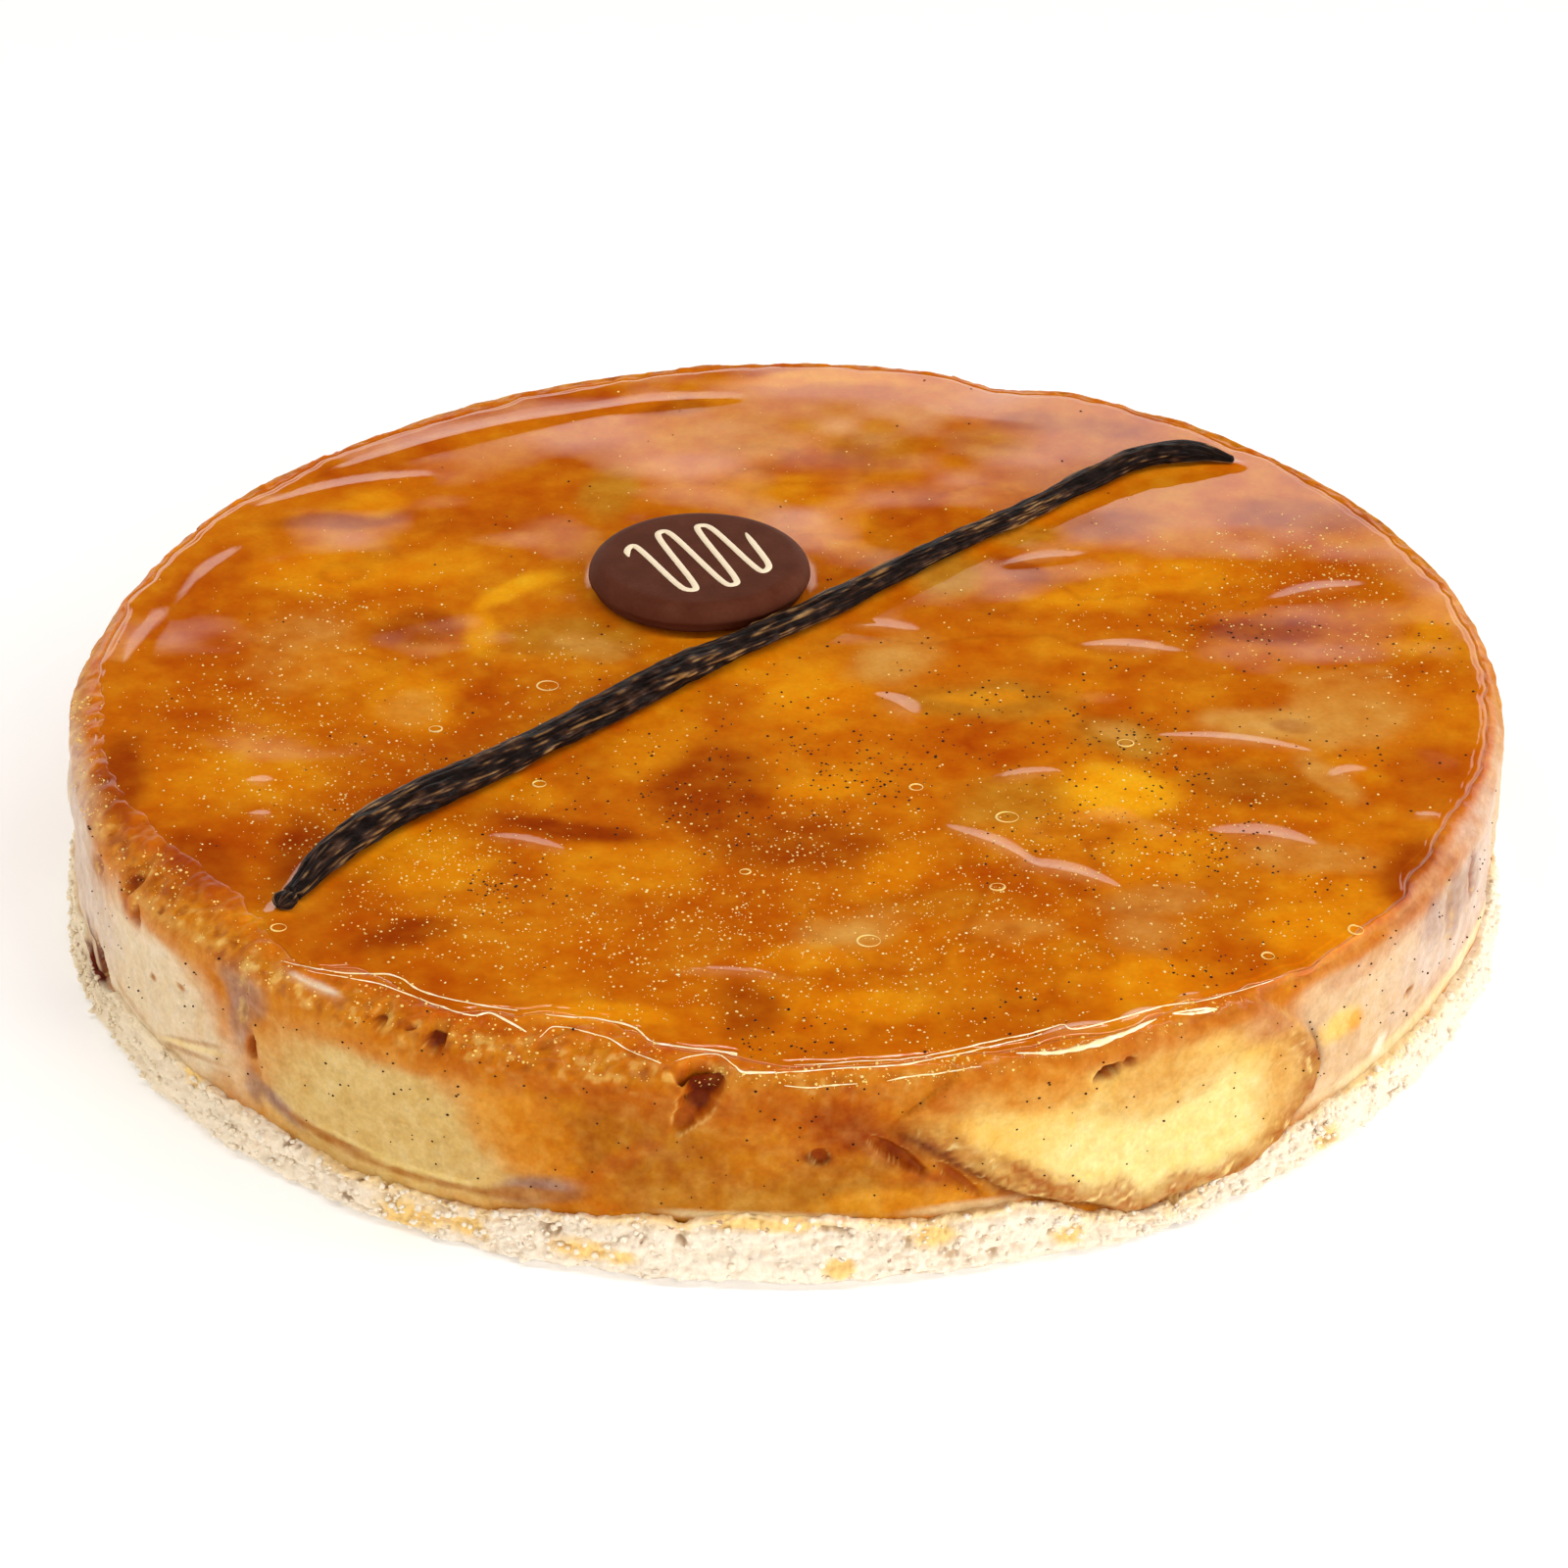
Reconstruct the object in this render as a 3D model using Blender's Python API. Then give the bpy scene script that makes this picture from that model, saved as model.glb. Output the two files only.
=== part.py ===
"""Tarte tatin, 20 cm across: a crumbly shortbread base, a deep layer of pressed, caramelised
apple slices, one vanilla pod laid over the top and one moulded chocolate disc.

Metres, +Z up. The origin is on the table, under the centre of the tart. The angles round the
tart are in degrees, counter-clockwise from +X, so the side at 270 faces -Y, the viewer.
"""

import math

import bmesh
import bpy
import numpy as np
from mathutils import Vector, noise

# Driving dimensions
TART_RADIUS = 0.100
TART_HEIGHT = 0.0314
CRUST_OVERHANG = 0.0020
LEDGE_HEIGHT = 0.0071
DISC_RADIUS = 0.0161
DISC_THICKNESS = 0.0042
POD_WIDTH = 0.0054
POD_THICKNESS = 0.0031
LAYER_GAP = 0.0003

# Steps round the tart, and the rings across its faces: share of the radius, steps round
SIDE_STEPS = 240
INNER_RINGS = ((0.93, 120), (0.80, 60), (0.60, 36), (0.38, 24), (0.16, 12))
FLAT_FROM = 0.80
CRUST_LEVELS = (0.0, 0.12, 0.36, 0.62, 0.86, 1.0)
FRUIT_LEVELS = (0.0, 0.09, 0.21, 0.34, 0.47, 0.60, 0.72, 0.83, 0.93, 1.0)

# The crust stands higher or lower where the fruit was pressed into it:
# angle, half width in degrees, rise
CRUST_SWELLS = (
    (269, 14, 0.0028),
    (298, 9, -0.0034),
    (238, 11, -0.0012),
    (322, 9, 0.0006),
    (196, 10, 0.0009),
    (48, 14, 0.0018),
    (104, 16, 0.0024),
    (150, 12, -0.0011),
)

# Apple slices that face the side: angle, height of the middle, half width in degrees,
# half height, tilt in degrees, how far the slice stands proud
SIDE_SLICES = (
    (214, 0.0165, 10.5, 0.0112, 3, 0.0003),
    (193, 0.0172, 8.5, 0.0105, -3, 0.0002),
    (241, 0.0168, 14.5, 0.0108, -2, 0.0004),
    (296, 0.0165, 17.0, 0.0132, -7, 0.0015),
    (322, 0.0180, 8.5, 0.0115, 4, 0.0002),
    (340, 0.0180, 8.5, 0.0118, -5, 0.0003),
    (2, 0.0170, 12.5, 0.0108, 8, 0.0006),
    (31, 0.0190, 12.5, 0.0115, -3, 0.0003),
    (58, 0.0185, 13.0, 0.0098, 5, 0.0008),
    (84, 0.0178, 11.5, 0.0110, -6, 0.0004),
    (111, 0.0195, 14.0, 0.0100, 2, 0.0007),
    (139, 0.0178, 12.5, 0.0120, -4, 0.0003),
    (163, 0.0182, 10.5, 0.0115, 6, 0.0005),
    (179, 0.0170, 5.0, 0.0108, -3, 0.0002),
)
SLICE_CORNER = 2.6
SLICE_SEAM = 0.0004

# Clefts between the slices: angle and height at the top end, the same at the lower end,
# half width, depth
CLEFTS = (
    (226.0, 0.0310, 226.0, 0.0085, 0.0012, 0.0020),
    (263.3, 0.0316, 262.5, 0.0215, 0.0016, 0.0042),
    (262.0, 0.0215, 250.0, 0.0090, 0.0013, 0.0010),
    (272.5, 0.0225, 273.0, 0.0145, 0.0015, 0.0026),
    (276.5, 0.0215, 280.5, 0.0150, 0.0013, 0.0024),
    (280.5, 0.0230, 290.5, 0.0065, 0.0013, 0.0020),
    (209.5, 0.0295, 211.0, 0.0235, 0.0013, 0.0024),
    (198.5, 0.0085, 201.5, 0.0055, 0.0020, 0.0040),
    (312.8, 0.0270, 313.5, 0.0100, 0.0011, 0.0014),
    (331.0, 0.0310, 332.5, 0.0110, 0.0013, 0.0018),
    (335.5, 0.0312, 336.5, 0.0150, 0.0014, 0.0024),
    (349.5, 0.0110, 352.0, 0.0050, 0.0016, 0.0030),
    (16.5, 0.0300, 18.0, 0.0090, 0.0013, 0.0022),
    (45.0, 0.0308, 43.5, 0.0100, 0.0014, 0.0026),
    (71.0, 0.0290, 73.0, 0.0090, 0.0012, 0.0018),
    (97.0, 0.0308, 95.5, 0.0110, 0.0015, 0.0032),
    (126.0, 0.0290, 127.5, 0.0090, 0.0013, 0.0022),
    (152.0, 0.0308, 151.0, 0.0095, 0.0014, 0.0028),
    (173.5, 0.0300, 174.5, 0.0085, 0.0012, 0.0018),
)
CLEFT_SPREAD = 1.8
HOLE_SPREAD = 1.4

# Small holes in the side: angle, height, half width, half height, depth
HOLES = (
    (226.5, 0.0166, 0.0014, 0.0022, 0.0026),
    (239.0, 0.0288, 0.0018, 0.0012, 0.0024),
    (243.8, 0.0284, 0.0020, 0.0013, 0.0028),
    (294.3, 0.0264, 0.0024, 0.0013, 0.0030),
    (202.0, 0.0235, 0.0020, 0.0018, 0.0016),
    (27.0, 0.0260, 0.0022, 0.0015, 0.0024),
    (88.0, 0.0266, 0.0024, 0.0014, 0.0026),
    (133.0, 0.0238, 0.0020, 0.0016, 0.0022),
)

# Stretches of the top edge that have crumbled away: angle, half width in degrees, set back
EDGE_CHIPS = (
    (216, 9, 0.0010),
    (239, 8, 0.0014),
    (334, 6, 0.0009),
    (66, 9, 0.0012),
    (121, 12, 0.0010),
    (168, 7, 0.0008),
)
CHIP_DEPTH = 0.0050

# The fruit lies thicker towards one side: the angle of the highest rim, how much higher it is,
# and the shares of the radius, measured towards it, between which the top rises
HIGH_ANGLE = 60
HIGH_RISE = 0.0020
RISE_FROM = -0.30
RISE_TO = 1.15

# The top falls away a little all round its rim, and more where the fruit has sunk:
# angle, half width in degrees, fall
RIM_FALL = 0.0004
RIM_FROM = 0.93
RIM_SLOPES = (
    (166, 12, 0.0014),
    (212, 15, 0.0024),
    (248, 13, 0.0020),
    (322, 18, 0.0008),
)

# Where the side leans outwards towards the top: angle, half width in degrees, lean
SIDE_LEANS = (
    (70, 55, 0.0009),
    (325, 18, 0.0006),
)
EDGE_ROUNDING = 0.0008
EDGE_ROUNDING_DEPTH = 0.0030

# Where the pod lies, from its curled stalk to its tip: x, y, share of its full thickness
POD_ROUTE = (
    (-0.0653, -0.0625, 0.36),
    (-0.0630, -0.0585, 0.60),
    (-0.0592, -0.0501, 0.96),
    (-0.0517, -0.0398, 1.08),
    (-0.0398, -0.0278, 1.05),
    (-0.0276, -0.0150, 1.00),
    (-0.0149, -0.0017, 1.08),
    (-0.0084, 0.0044, 0.94),
    (0.0059, 0.0175, 0.88),
    (0.0232, 0.0351, 0.78),
    (0.0361, 0.0465, 0.70),
    (0.0462, 0.0563, 0.78),
    (0.0540, 0.0627, 0.88),
    (0.0620, 0.0649, 0.84),
    (0.0684, 0.0637, 0.26),
)
POD_SIDES = 12
POD_STEPS = 4
POD_FLUTE = 0.07
POD_CLEARANCE = 0.0002

# The disc's place, and its edge: how high its widest line is, how broad its round shoulder
DISC_CENTRE = (-0.0122, 0.0268)
DISC_STEPS = 56
DISC_EDGE_STEPS = 4
DISC_BELLY = 0.36
DISC_UNDERCUT = 0.0008
DISC_SHOULDER = 0.0040

BASE_COLOUR = (0.78, 0.66, 0.52, 1.0)
APPLE_COLOUR = (0.72, 0.32, 0.05, 1.0)
POD_COLOUR = (0.020, 0.012, 0.010, 1.0)
CHOCOLATE_COLOUR = (0.075, 0.022, 0.016, 1.0)


def clear_scene():
    for old in list(bpy.data.objects):
        bpy.data.objects.remove(old)


def material(name, colour, roughness):
    made = bpy.data.materials.new(name)
    made.use_nodes = True
    shader = made.node_tree.nodes["Principled BSDF"]
    shader.inputs["Base Color"].default_value = colour
    shader.inputs["Roughness"].default_value = roughness
    shader.inputs["Metallic"].default_value = 0.0
    return made


def angle_between(angle, middle):
    """Degrees from middle to angle, the short way round."""
    return (angle - middle + 180.0) % 360.0 - 180.0


def bell(distance, half_width):
    """1 in the middle of a feature, falling away smoothly past its half width."""
    return math.exp(-((distance / half_width) ** 2))


def arc_length(angle, middle):
    """Distance along the tart's side from the middle angle to this angle."""
    return math.radians(angle_between(angle, middle)) * TART_RADIUS


def ledge_height(angle):
    """Height of the line on the tart's side where the fruit meets the crust."""
    height = LEDGE_HEIGHT + 0.0003 * math.sin(math.radians(angle) * 7.0)
    for middle, half_width, rise in CRUST_SWELLS:
        height += rise * bell(angle_between(angle, middle), half_width)
    return height


def layer_height(share, angle):
    """Height between crust and fruit: level inside, rising or falling to the ledge at the side."""
    outward = min(1.0, max(0.0, (share - FLAT_FROM) / (1.0 - FLAT_FROM)))
    return LEDGE_HEIGHT + (ledge_height(angle) - LEDGE_HEIGHT) * outward**2


def ease(value, low, high):
    """0 below low, 1 above high, and a smooth rise between them."""
    part = min(1.0, max(0.0, (value - low) / (high - low)))
    return part * part * (3.0 - 2.0 * part)


def top_height(x, y):
    """Height of the glazed top: rising gently to its high side, falling away at the rim."""
    share = math.hypot(x, y) / TART_RADIUS
    angle = math.degrees(math.atan2(y, x))
    swell = 0.0002 * noise.noise(Vector((x * 34.0 + 5.0, y * 34.0, 1.5)))
    towards = share * math.cos(math.radians(angle - HIGH_ANGLE))
    rise = HIGH_RISE * ease(towards, RISE_FROM, RISE_TO)
    outward = max(0.0, (share - RIM_FROM) / (1.0 - RIM_FROM))
    fall = RIM_FALL
    for middle, half_width, sunk in RIM_SLOPES:
        fall += sunk * bell(angle_between(angle, middle), half_width)
    return TART_HEIGHT - 0.0002 + swell + rise - fall * outward**2


def slice_relief(angle, height):
    """How far the apple slice here stands out, and how deep the seam round it is drawn in."""
    relief = 0.0
    for middle, level, half_width, half_height, tilt, proud in SIDE_SLICES:
        across = arc_length(angle, middle)
        up = height - level
        turn = math.radians(tilt)
        along = across * math.cos(turn) + up * math.sin(turn)
        upright = up * math.cos(turn) - across * math.sin(turn)
        reach = abs(along / (math.radians(half_width) * TART_RADIUS)) ** SLICE_CORNER
        reach += abs(upright / half_height) ** SLICE_CORNER
        edge = reach ** (1.0 / SLICE_CORNER)
        inside = min(1.0, max(0.0, (1.0 - edge) / 0.16))
        relief += proud * inside * (2.0 - inside)
        relief -= SLICE_SEAM * bell(edge - 1.0, 0.07)
    return relief


def cleft_depth(angle, height):
    """How deep the clefts and the small holes cut into the side here."""
    depth = 0.0
    for high_angle, high, low_angle, low, half_width, cut in CLEFTS:
        share = min(1.0, max(0.0, (high - height) / (high - low)))
        middle = high_angle + angle_between(low_angle, high_angle) * share
        beyond = max(0.0, height - high, low - height)
        away = math.hypot(arc_length(angle, middle), beyond)
        depth = max(depth, cut * bell(away, half_width * CLEFT_SPREAD))
    for middle, level, half_width, half_height, cut in HOLES:
        across = arc_length(angle, middle) / half_width
        away = math.hypot(across, (height - level) / half_height)
        depth = max(depth, cut * bell(away, HOLE_SPREAD))
    return depth


def side_radius(angle, height):
    """Radius of the fruit layer: a straight moulded side with slices, clefts and holes in it."""
    turn = math.radians(angle)
    around = Vector((math.cos(turn), math.sin(turn), height * 25.0))
    lumps = 0.0007 * noise.noise(around * 6.0) + 0.0003 * noise.noise(around * 19.0)
    rim = round_the_axis(TART_RADIUS, angle, 0.0)
    below_top = max(0.0, top_height(rim.x, rim.y) - height)
    rounding = EDGE_ROUNDING * max(0.0, 1.0 - below_top / EDGE_ROUNDING_DEPTH) ** 2.5
    for middle, half_width, set_back in EDGE_CHIPS:
        chip = set_back * bell(angle_between(angle, middle), half_width)
        rounding += chip * max(0.0, 1.0 - below_top / CHIP_DEPTH)
    lean = 0.0
    for middle, half_width, outward in SIDE_LEANS:
        lean += outward * bell(angle_between(angle, middle), half_width)
    lean *= ease(height / TART_HEIGHT, 0.35, 0.90)
    relief = slice_relief(angle, height) - cleft_depth(angle, height)
    return TART_RADIUS - 0.0003 + lumps + lean + relief - rounding


def crust_radius(angle, share_up):
    """Radius of the crumbly crust, ragged in and out, drawn in at its foot."""
    turn = math.radians(angle)
    around = Vector((math.cos(turn), math.sin(turn), share_up * 0.35))
    crumble = 0.0009 * noise.noise(around * 9.0) + 0.0007 * noise.noise(around * 31.0)
    foot = 0.0015 * max(0.0, 1.0 - share_up / 0.22) ** 1.5
    return TART_RADIUS + CRUST_OVERHANG * (1.0 - 0.5 * share_up) + crumble - foot


def round_the_axis(radius, angle, height):
    turn = math.radians(angle)
    return Vector((radius * math.cos(turn), radius * math.sin(turn), height))


def ring(mesh, steps, spot):
    """A ring of vertices, one at the point that spot gives for each angle in degrees."""
    return [mesh.verts.new(spot(360.0 * k / steps)) for k in range(steps)]


def join_rings(mesh, first, second):
    """A band of triangles between two rings, stepping along whichever of them is behind."""
    a, b = 0, 0
    while a < len(first) or b < len(second):
        corners = [first[a % len(first)], second[b % len(second)]]
        first_is_behind = (a + 0.5) * len(second) < (b + 0.5) * len(first)
        if b == len(second) or (a < len(first) and first_is_behind):
            a += 1
            corners.append(first[a % len(first)])
        else:
            b += 1
            corners.append(second[b % len(second)])
        mesh.faces.new(corners)


def skin(mesh, rings):
    """Joins each ring to the next one."""
    for first, second in zip(rings, rings[1:]):
        join_rings(mesh, first, second)


def fill_face(mesh, rim, rings, height_at):
    """Fills a round face from its rim inwards: coarser and coarser rings, then one flat middle."""
    loops = [rim]
    for share, steps in rings:

        def spot(angle, radius=share * TART_RADIUS):
            flat = round_the_axis(radius, angle, 0.0)
            flat.z = height_at(flat, angle)
            return flat

        loops.append(ring(mesh, steps, spot))
    skin(mesh, loops)
    mesh.faces.new(loops[-1])


def finish_mesh(mesh, name):
    """Triangles with their normals outwards, smoothly shaded, as plain mesh data."""
    bmesh.ops.triangulate(mesh, faces=mesh.faces[:])
    bmesh.ops.recalc_face_normals(mesh, faces=mesh.faces[:])
    data = bpy.data.meshes.new(name)
    mesh.to_mesh(data)
    mesh.free()
    data.shade_smooth()
    data.set_sharp_from_angle(angle=math.radians(50))
    return data


def add_object(name, mesh, finish):
    data = finish_mesh(mesh, name)
    data.materials.append(finish)
    made = bpy.data.objects.new(name, data)
    bpy.context.scene.collection.objects.link(made)
    return made


def build_crust():
    """The shortbread base: flat underneath, ragged at its side, its top pressed by the fruit."""
    mesh = bmesh.new()
    sides = []
    for level in CRUST_LEVELS:

        def spot(angle, level=level):
            ragged = 0.0
            if 0.0 < level < 1.0:
                ragged = 0.0004 * noise.noise(round_the_axis(14.0, angle, level))
            top = ledge_height(angle) - LAYER_GAP / 2
            return round_the_axis(crust_radius(angle, level), angle, top * level + ragged)

        sides.append(ring(mesh, SIDE_STEPS, spot))

    def under_fruit(angle):
        radius = side_radius(angle, ledge_height(angle) + LAYER_GAP / 2)
        return round_the_axis(radius, angle, ledge_height(angle) - LAYER_GAP / 2)

    seat = ring(mesh, SIDE_STEPS, under_fruit)
    skin(mesh, sides + [seat])
    mesh.faces.new(sides[0])

    def height_at(flat, angle):
        return layer_height(flat.length / TART_RADIUS, angle) - LAYER_GAP / 2

    fill_face(mesh, seat, INNER_RINGS[:2], height_at)
    return add_object("pastry_base", mesh, material("shortbread", BASE_COLOUR, 0.85))


def build_filling():
    """The pressed apple layer under its glaze, with the slices and clefts that its side shows."""
    mesh = bmesh.new()
    sides = []
    for level in FRUIT_LEVELS:

        def spot(angle, level=level):
            low = ledge_height(angle) + LAYER_GAP / 2
            rim = round_the_axis(TART_RADIUS, angle, 0.0)
            height = low + (top_height(rim.x, rim.y) - low) * level
            return round_the_axis(side_radius(angle, height), angle, height)

        sides.append(ring(mesh, SIDE_STEPS, spot))
    skin(mesh, sides)

    def height_above(flat, angle):
        return top_height(flat.x, flat.y)

    def height_below(flat, angle):
        return layer_height(flat.length / TART_RADIUS, angle) + LAYER_GAP / 2

    fill_face(mesh, sides[-1], INNER_RINGS, height_above)
    fill_face(mesh, sides[0], INNER_RINGS[:2], height_below)
    return add_object("apple_filling", mesh, material("glazed_apple", APPLE_COLOUR, 0.15))


def smooth_route(knots, steps):
    """Points on a smooth curve through the knots, with the given steps between each two."""
    padded = [2 * knots[0] - knots[1]] + knots + [2 * knots[-1] - knots[-2]]
    points = []
    for before, first, second, after in zip(padded, padded[1:], padded[2:], padded[3:]):
        for k in range(steps):
            t = k / steps
            bend = 2 * before - 5 * first + 4 * second - after
            twist = 3 * first - before - 3 * second + after
            points.append(0.5 * (2 * first + (second - before) * t + bend * t**2 + twist * t**3))
    return points + [knots[-1]]


def build_pod():
    """The vanilla pod: a flattened, fluted tube along its route, lying on the glaze."""
    route = smooth_route([Vector(knot) for knot in POD_ROUTE], POD_STEPS)
    mesh = bmesh.new()
    rings = []
    for k, (x, y, size) in enumerate(route):
        ahead = route[min(k + 1, len(route) - 1)] - route[max(k - 1, 0)]
        sideways = Vector((-ahead.y, ahead.x, 0.0)).normalized()
        lift = POD_THICKNESS / 2 * size + LAYER_GAP + POD_CLEARANCE
        centre = Vector((x, y, top_height(x, y) + lift))

        def spot(angle, centre=centre, sideways=sideways, size=size):
            turn = math.radians(angle)
            flute = size * (1.0 - POD_FLUTE * math.cos(turn * POD_SIDES / 2))
            across = sideways * (POD_WIDTH / 2 * flute * math.cos(turn))
            return centre + across + Vector((0.0, 0.0, POD_THICKNESS / 2 * flute * math.sin(turn)))

        rings.append(ring(mesh, POD_SIDES, spot))
    skin(mesh, rings)
    mesh.faces.new(rings[0])
    mesh.faces.new(rings[-1])
    return add_object("vanilla_pod", mesh, material("vanilla", POD_COLOUR, 0.35))


def disc_profile():
    """Radius and height up the disc's edge: an undercut foot, the belly, then a broad shoulder."""
    belly = DISC_THICKNESS * DISC_BELLY
    points = []
    for k in range(DISC_EDGE_STEPS):
        turn = math.radians(90.0 * k / DISC_EDGE_STEPS)
        points.append((DISC_RADIUS - DISC_UNDERCUT * math.cos(turn), belly * math.sin(turn)))
    for k in range(DISC_EDGE_STEPS + 1):
        turn = math.radians(90.0 * k / DISC_EDGE_STEPS)
        radius = DISC_RADIUS - DISC_SHOULDER * (1.0 - math.cos(turn))
        points.append((radius, belly + (DISC_THICKNESS - belly) * math.sin(turn)))
    return points


def build_disc():
    """The moulded chocolate disc, lying level on the highest glaze under it."""
    centre = Vector((*DISC_CENTRE, 0.0))
    rim = [centre + round_the_axis(DISC_RADIUS, 15.0 * k, 0.0) for k in range(24)]
    foot = max(top_height(spot.x, spot.y) for spot in rim + [centre])
    foot += LAYER_GAP + POD_CLEARANCE
    mesh = bmesh.new()
    rings = []
    for radius, height in disc_profile():

        def spot(angle, radius=radius, height=height):
            return centre + round_the_axis(radius, angle, foot + height)

        rings.append(ring(mesh, DISC_STEPS, spot))
    skin(mesh, rings)
    mesh.faces.new(rings[0])
    mesh.faces.new(rings[-1])
    return add_object("chocolate_disc", mesh, material("chocolate", CHOCOLATE_COLOUR, 0.38))


def centre_on_origin(objects):
    """Puts the middle of the whole outline over the origin, with the foot on z = 0."""
    corners = np.array([point.co for made in objects for point in made.data.vertices])
    low, high = corners.min(axis=0), corners.max(axis=0)
    shift = Vector((-(low[0] + high[0]) / 2, -(low[1] + high[1]) / 2, -low[2]))
    for made in objects:
        made.location = shift


def main():
    clear_scene()
    centre_on_origin([build_crust(), build_filling(), build_pod(), build_disc()])


main()
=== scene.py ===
# %% [markdown]
# # Dressing a tarte tatin
# A tarte tatin is an apple tart that is baked upside down and turned out. This one is 20 cm
# across: a pale, crumbly shortbread base, a deep layer of caramelised apple pressed flat under
# clear glaze, and on top a vanilla pod and a small moulded chocolate disc. The plain solids come
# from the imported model, which stays as it is. This script gives each of them its real surface.
# Lengths are in metres, +Z is up, and angles round the tart are in degrees, counter-clockwise
# from +X, so that 270 is the side facing the viewer.

# %% Load the fixed model
import math

import bpy
import numpy as np
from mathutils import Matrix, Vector, noise


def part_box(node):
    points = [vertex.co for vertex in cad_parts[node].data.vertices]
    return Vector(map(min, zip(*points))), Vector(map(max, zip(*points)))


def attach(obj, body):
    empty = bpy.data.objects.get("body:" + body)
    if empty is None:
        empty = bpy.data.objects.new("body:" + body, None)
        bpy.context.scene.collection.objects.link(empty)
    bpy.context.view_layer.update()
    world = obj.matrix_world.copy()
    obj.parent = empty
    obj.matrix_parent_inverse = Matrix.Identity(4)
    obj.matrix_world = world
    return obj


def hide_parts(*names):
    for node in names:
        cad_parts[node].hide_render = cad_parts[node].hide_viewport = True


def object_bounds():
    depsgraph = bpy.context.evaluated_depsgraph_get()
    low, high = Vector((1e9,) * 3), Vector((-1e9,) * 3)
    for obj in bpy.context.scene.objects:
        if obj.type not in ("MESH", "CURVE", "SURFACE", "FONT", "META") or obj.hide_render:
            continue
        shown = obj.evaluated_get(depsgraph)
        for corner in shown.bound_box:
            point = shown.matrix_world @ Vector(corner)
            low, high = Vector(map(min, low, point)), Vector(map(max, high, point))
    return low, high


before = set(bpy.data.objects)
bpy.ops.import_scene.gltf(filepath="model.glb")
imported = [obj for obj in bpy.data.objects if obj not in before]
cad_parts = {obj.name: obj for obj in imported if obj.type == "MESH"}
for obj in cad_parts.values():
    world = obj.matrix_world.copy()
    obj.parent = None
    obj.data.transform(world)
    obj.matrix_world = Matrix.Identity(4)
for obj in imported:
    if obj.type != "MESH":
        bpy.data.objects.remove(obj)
cad_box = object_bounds()
print("solids:", sorted(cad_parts), "box:", [round(v, 4) for corner in cad_box for v in corner])

# %% [markdown]
# The driving sizes are those of the model. What can be measured from the frame is measured, so
# the dressed pieces stay where their solids are.

# %% Driving sizes
MM = 0.001
TART_RADIUS = 0.100
TART_HEIGHT = 0.0314
LEDGE_HEIGHT = 0.0071
CRUST_OVERHANG = 0.0020
LAYER_GAP = 0.0003

disc_low, disc_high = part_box("chocolate_disc")
DISC_CENTRE = np.array([(disc_low.x + disc_high.x) / 2, (disc_low.y + disc_high.y) / 2])
DISC_RADIUS = (disc_high.x - disc_low.x) / 2
print("disc:", DISC_CENTRE.round(4), round(DISC_RADIUS, 4))

# %% [markdown]
# A long lens from 70 cm away, tilted down by 30 degrees, gives the photograph's calm perspective.
# The camera's own axes say where it stands: back along its line of sight, and a little up, so
# that the tart sits in the middle of the square frame.

# %% Camera
VIEW_DISTANCE = 7.00 * TART_RADIUS
VIEW_ELEVATION = math.radians(30.305)
VIEW_RISE = 0.1224 * TART_RADIUS
VIEW_SHIFT = 0.0012 * TART_RADIUS
SENSOR_WIDTH = 36.0
FOCAL_PIXELS = 4966.8
FRAME_PIXELS = 1600

camera_data = bpy.data.cameras.new("camera")
camera_data.sensor_width = SENSOR_WIDTH
camera_data.lens = FOCAL_PIXELS / FRAME_PIXELS * SENSOR_WIDTH
camera_data.clip_start = 0.01
camera = bpy.data.objects.new("camera", camera_data)
bpy.context.scene.collection.objects.link(camera)
camera.location = (
    VIEW_SHIFT,
    VIEW_RISE * math.sin(VIEW_ELEVATION) - VIEW_DISTANCE * math.cos(VIEW_ELEVATION),
    VIEW_RISE * math.cos(VIEW_ELEVATION) + VIEW_DISTANCE * math.sin(VIEW_ELEVATION),
)
camera.rotation_euler = (math.pi / 2 - VIEW_ELEVATION, 0.0, 0.0)
bpy.context.scene.camera = camera
# How much higher a point seems for each metre that it lies further away
VIEW_SLANT = math.tan(VIEW_ELEVATION)
print("camera at", [round(v, 4) for v in camera.location], "lens", round(camera_data.lens, 2))

# %% [markdown]
# Glaze is a dark mirror, so the light is built for what it reflects. The walls of a light tent
# are bright only up to a certain height. The far rim of the tart mirrors them as a pale haze, the
# rest mirrors the dim space above them and keeps its deep colour. One long strip overhead gives
# most of the light, and every bend of the glaze draws it as a bright line. A smaller, low light
# at the front right makes that side of the tart the brighter one. Glaze doesn't mirror that one,
# or from behind the tart its reflection would cover the whole top in white.

# %% Light tent and floor
TENT_TOP = math.sin(math.radians(28.4))
TENT_LEAN = 0.16
TENT_EDGE = math.radians(0.8)
TENT_GLOW = 1.80
CEILING_GLOW = 0.03
STRIP_HEIGHT = 0.90
STRIP_SIZE = (3.2, 0.06)
STRIP_Y = -0.10
STRIP_POWER = 12.0
WARM_WHITE = (1.0, 0.965, 0.915)
KEY_PLACE = (0.78, -0.88, 0.30)
KEY_SIZE = 0.6
KEY_POWER = 3.3
KEY_WHITE = (1.0, 0.99, 0.97)
FLOOR_SIZE = 6.0
FLOOR_WHITE = (0.95, 0.955, 0.97, 1.0)
FLOOR_LIGHT = (0.96, 0.98, 1.0, 1.0)
FLOOR_GLOW = 0.16

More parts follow.
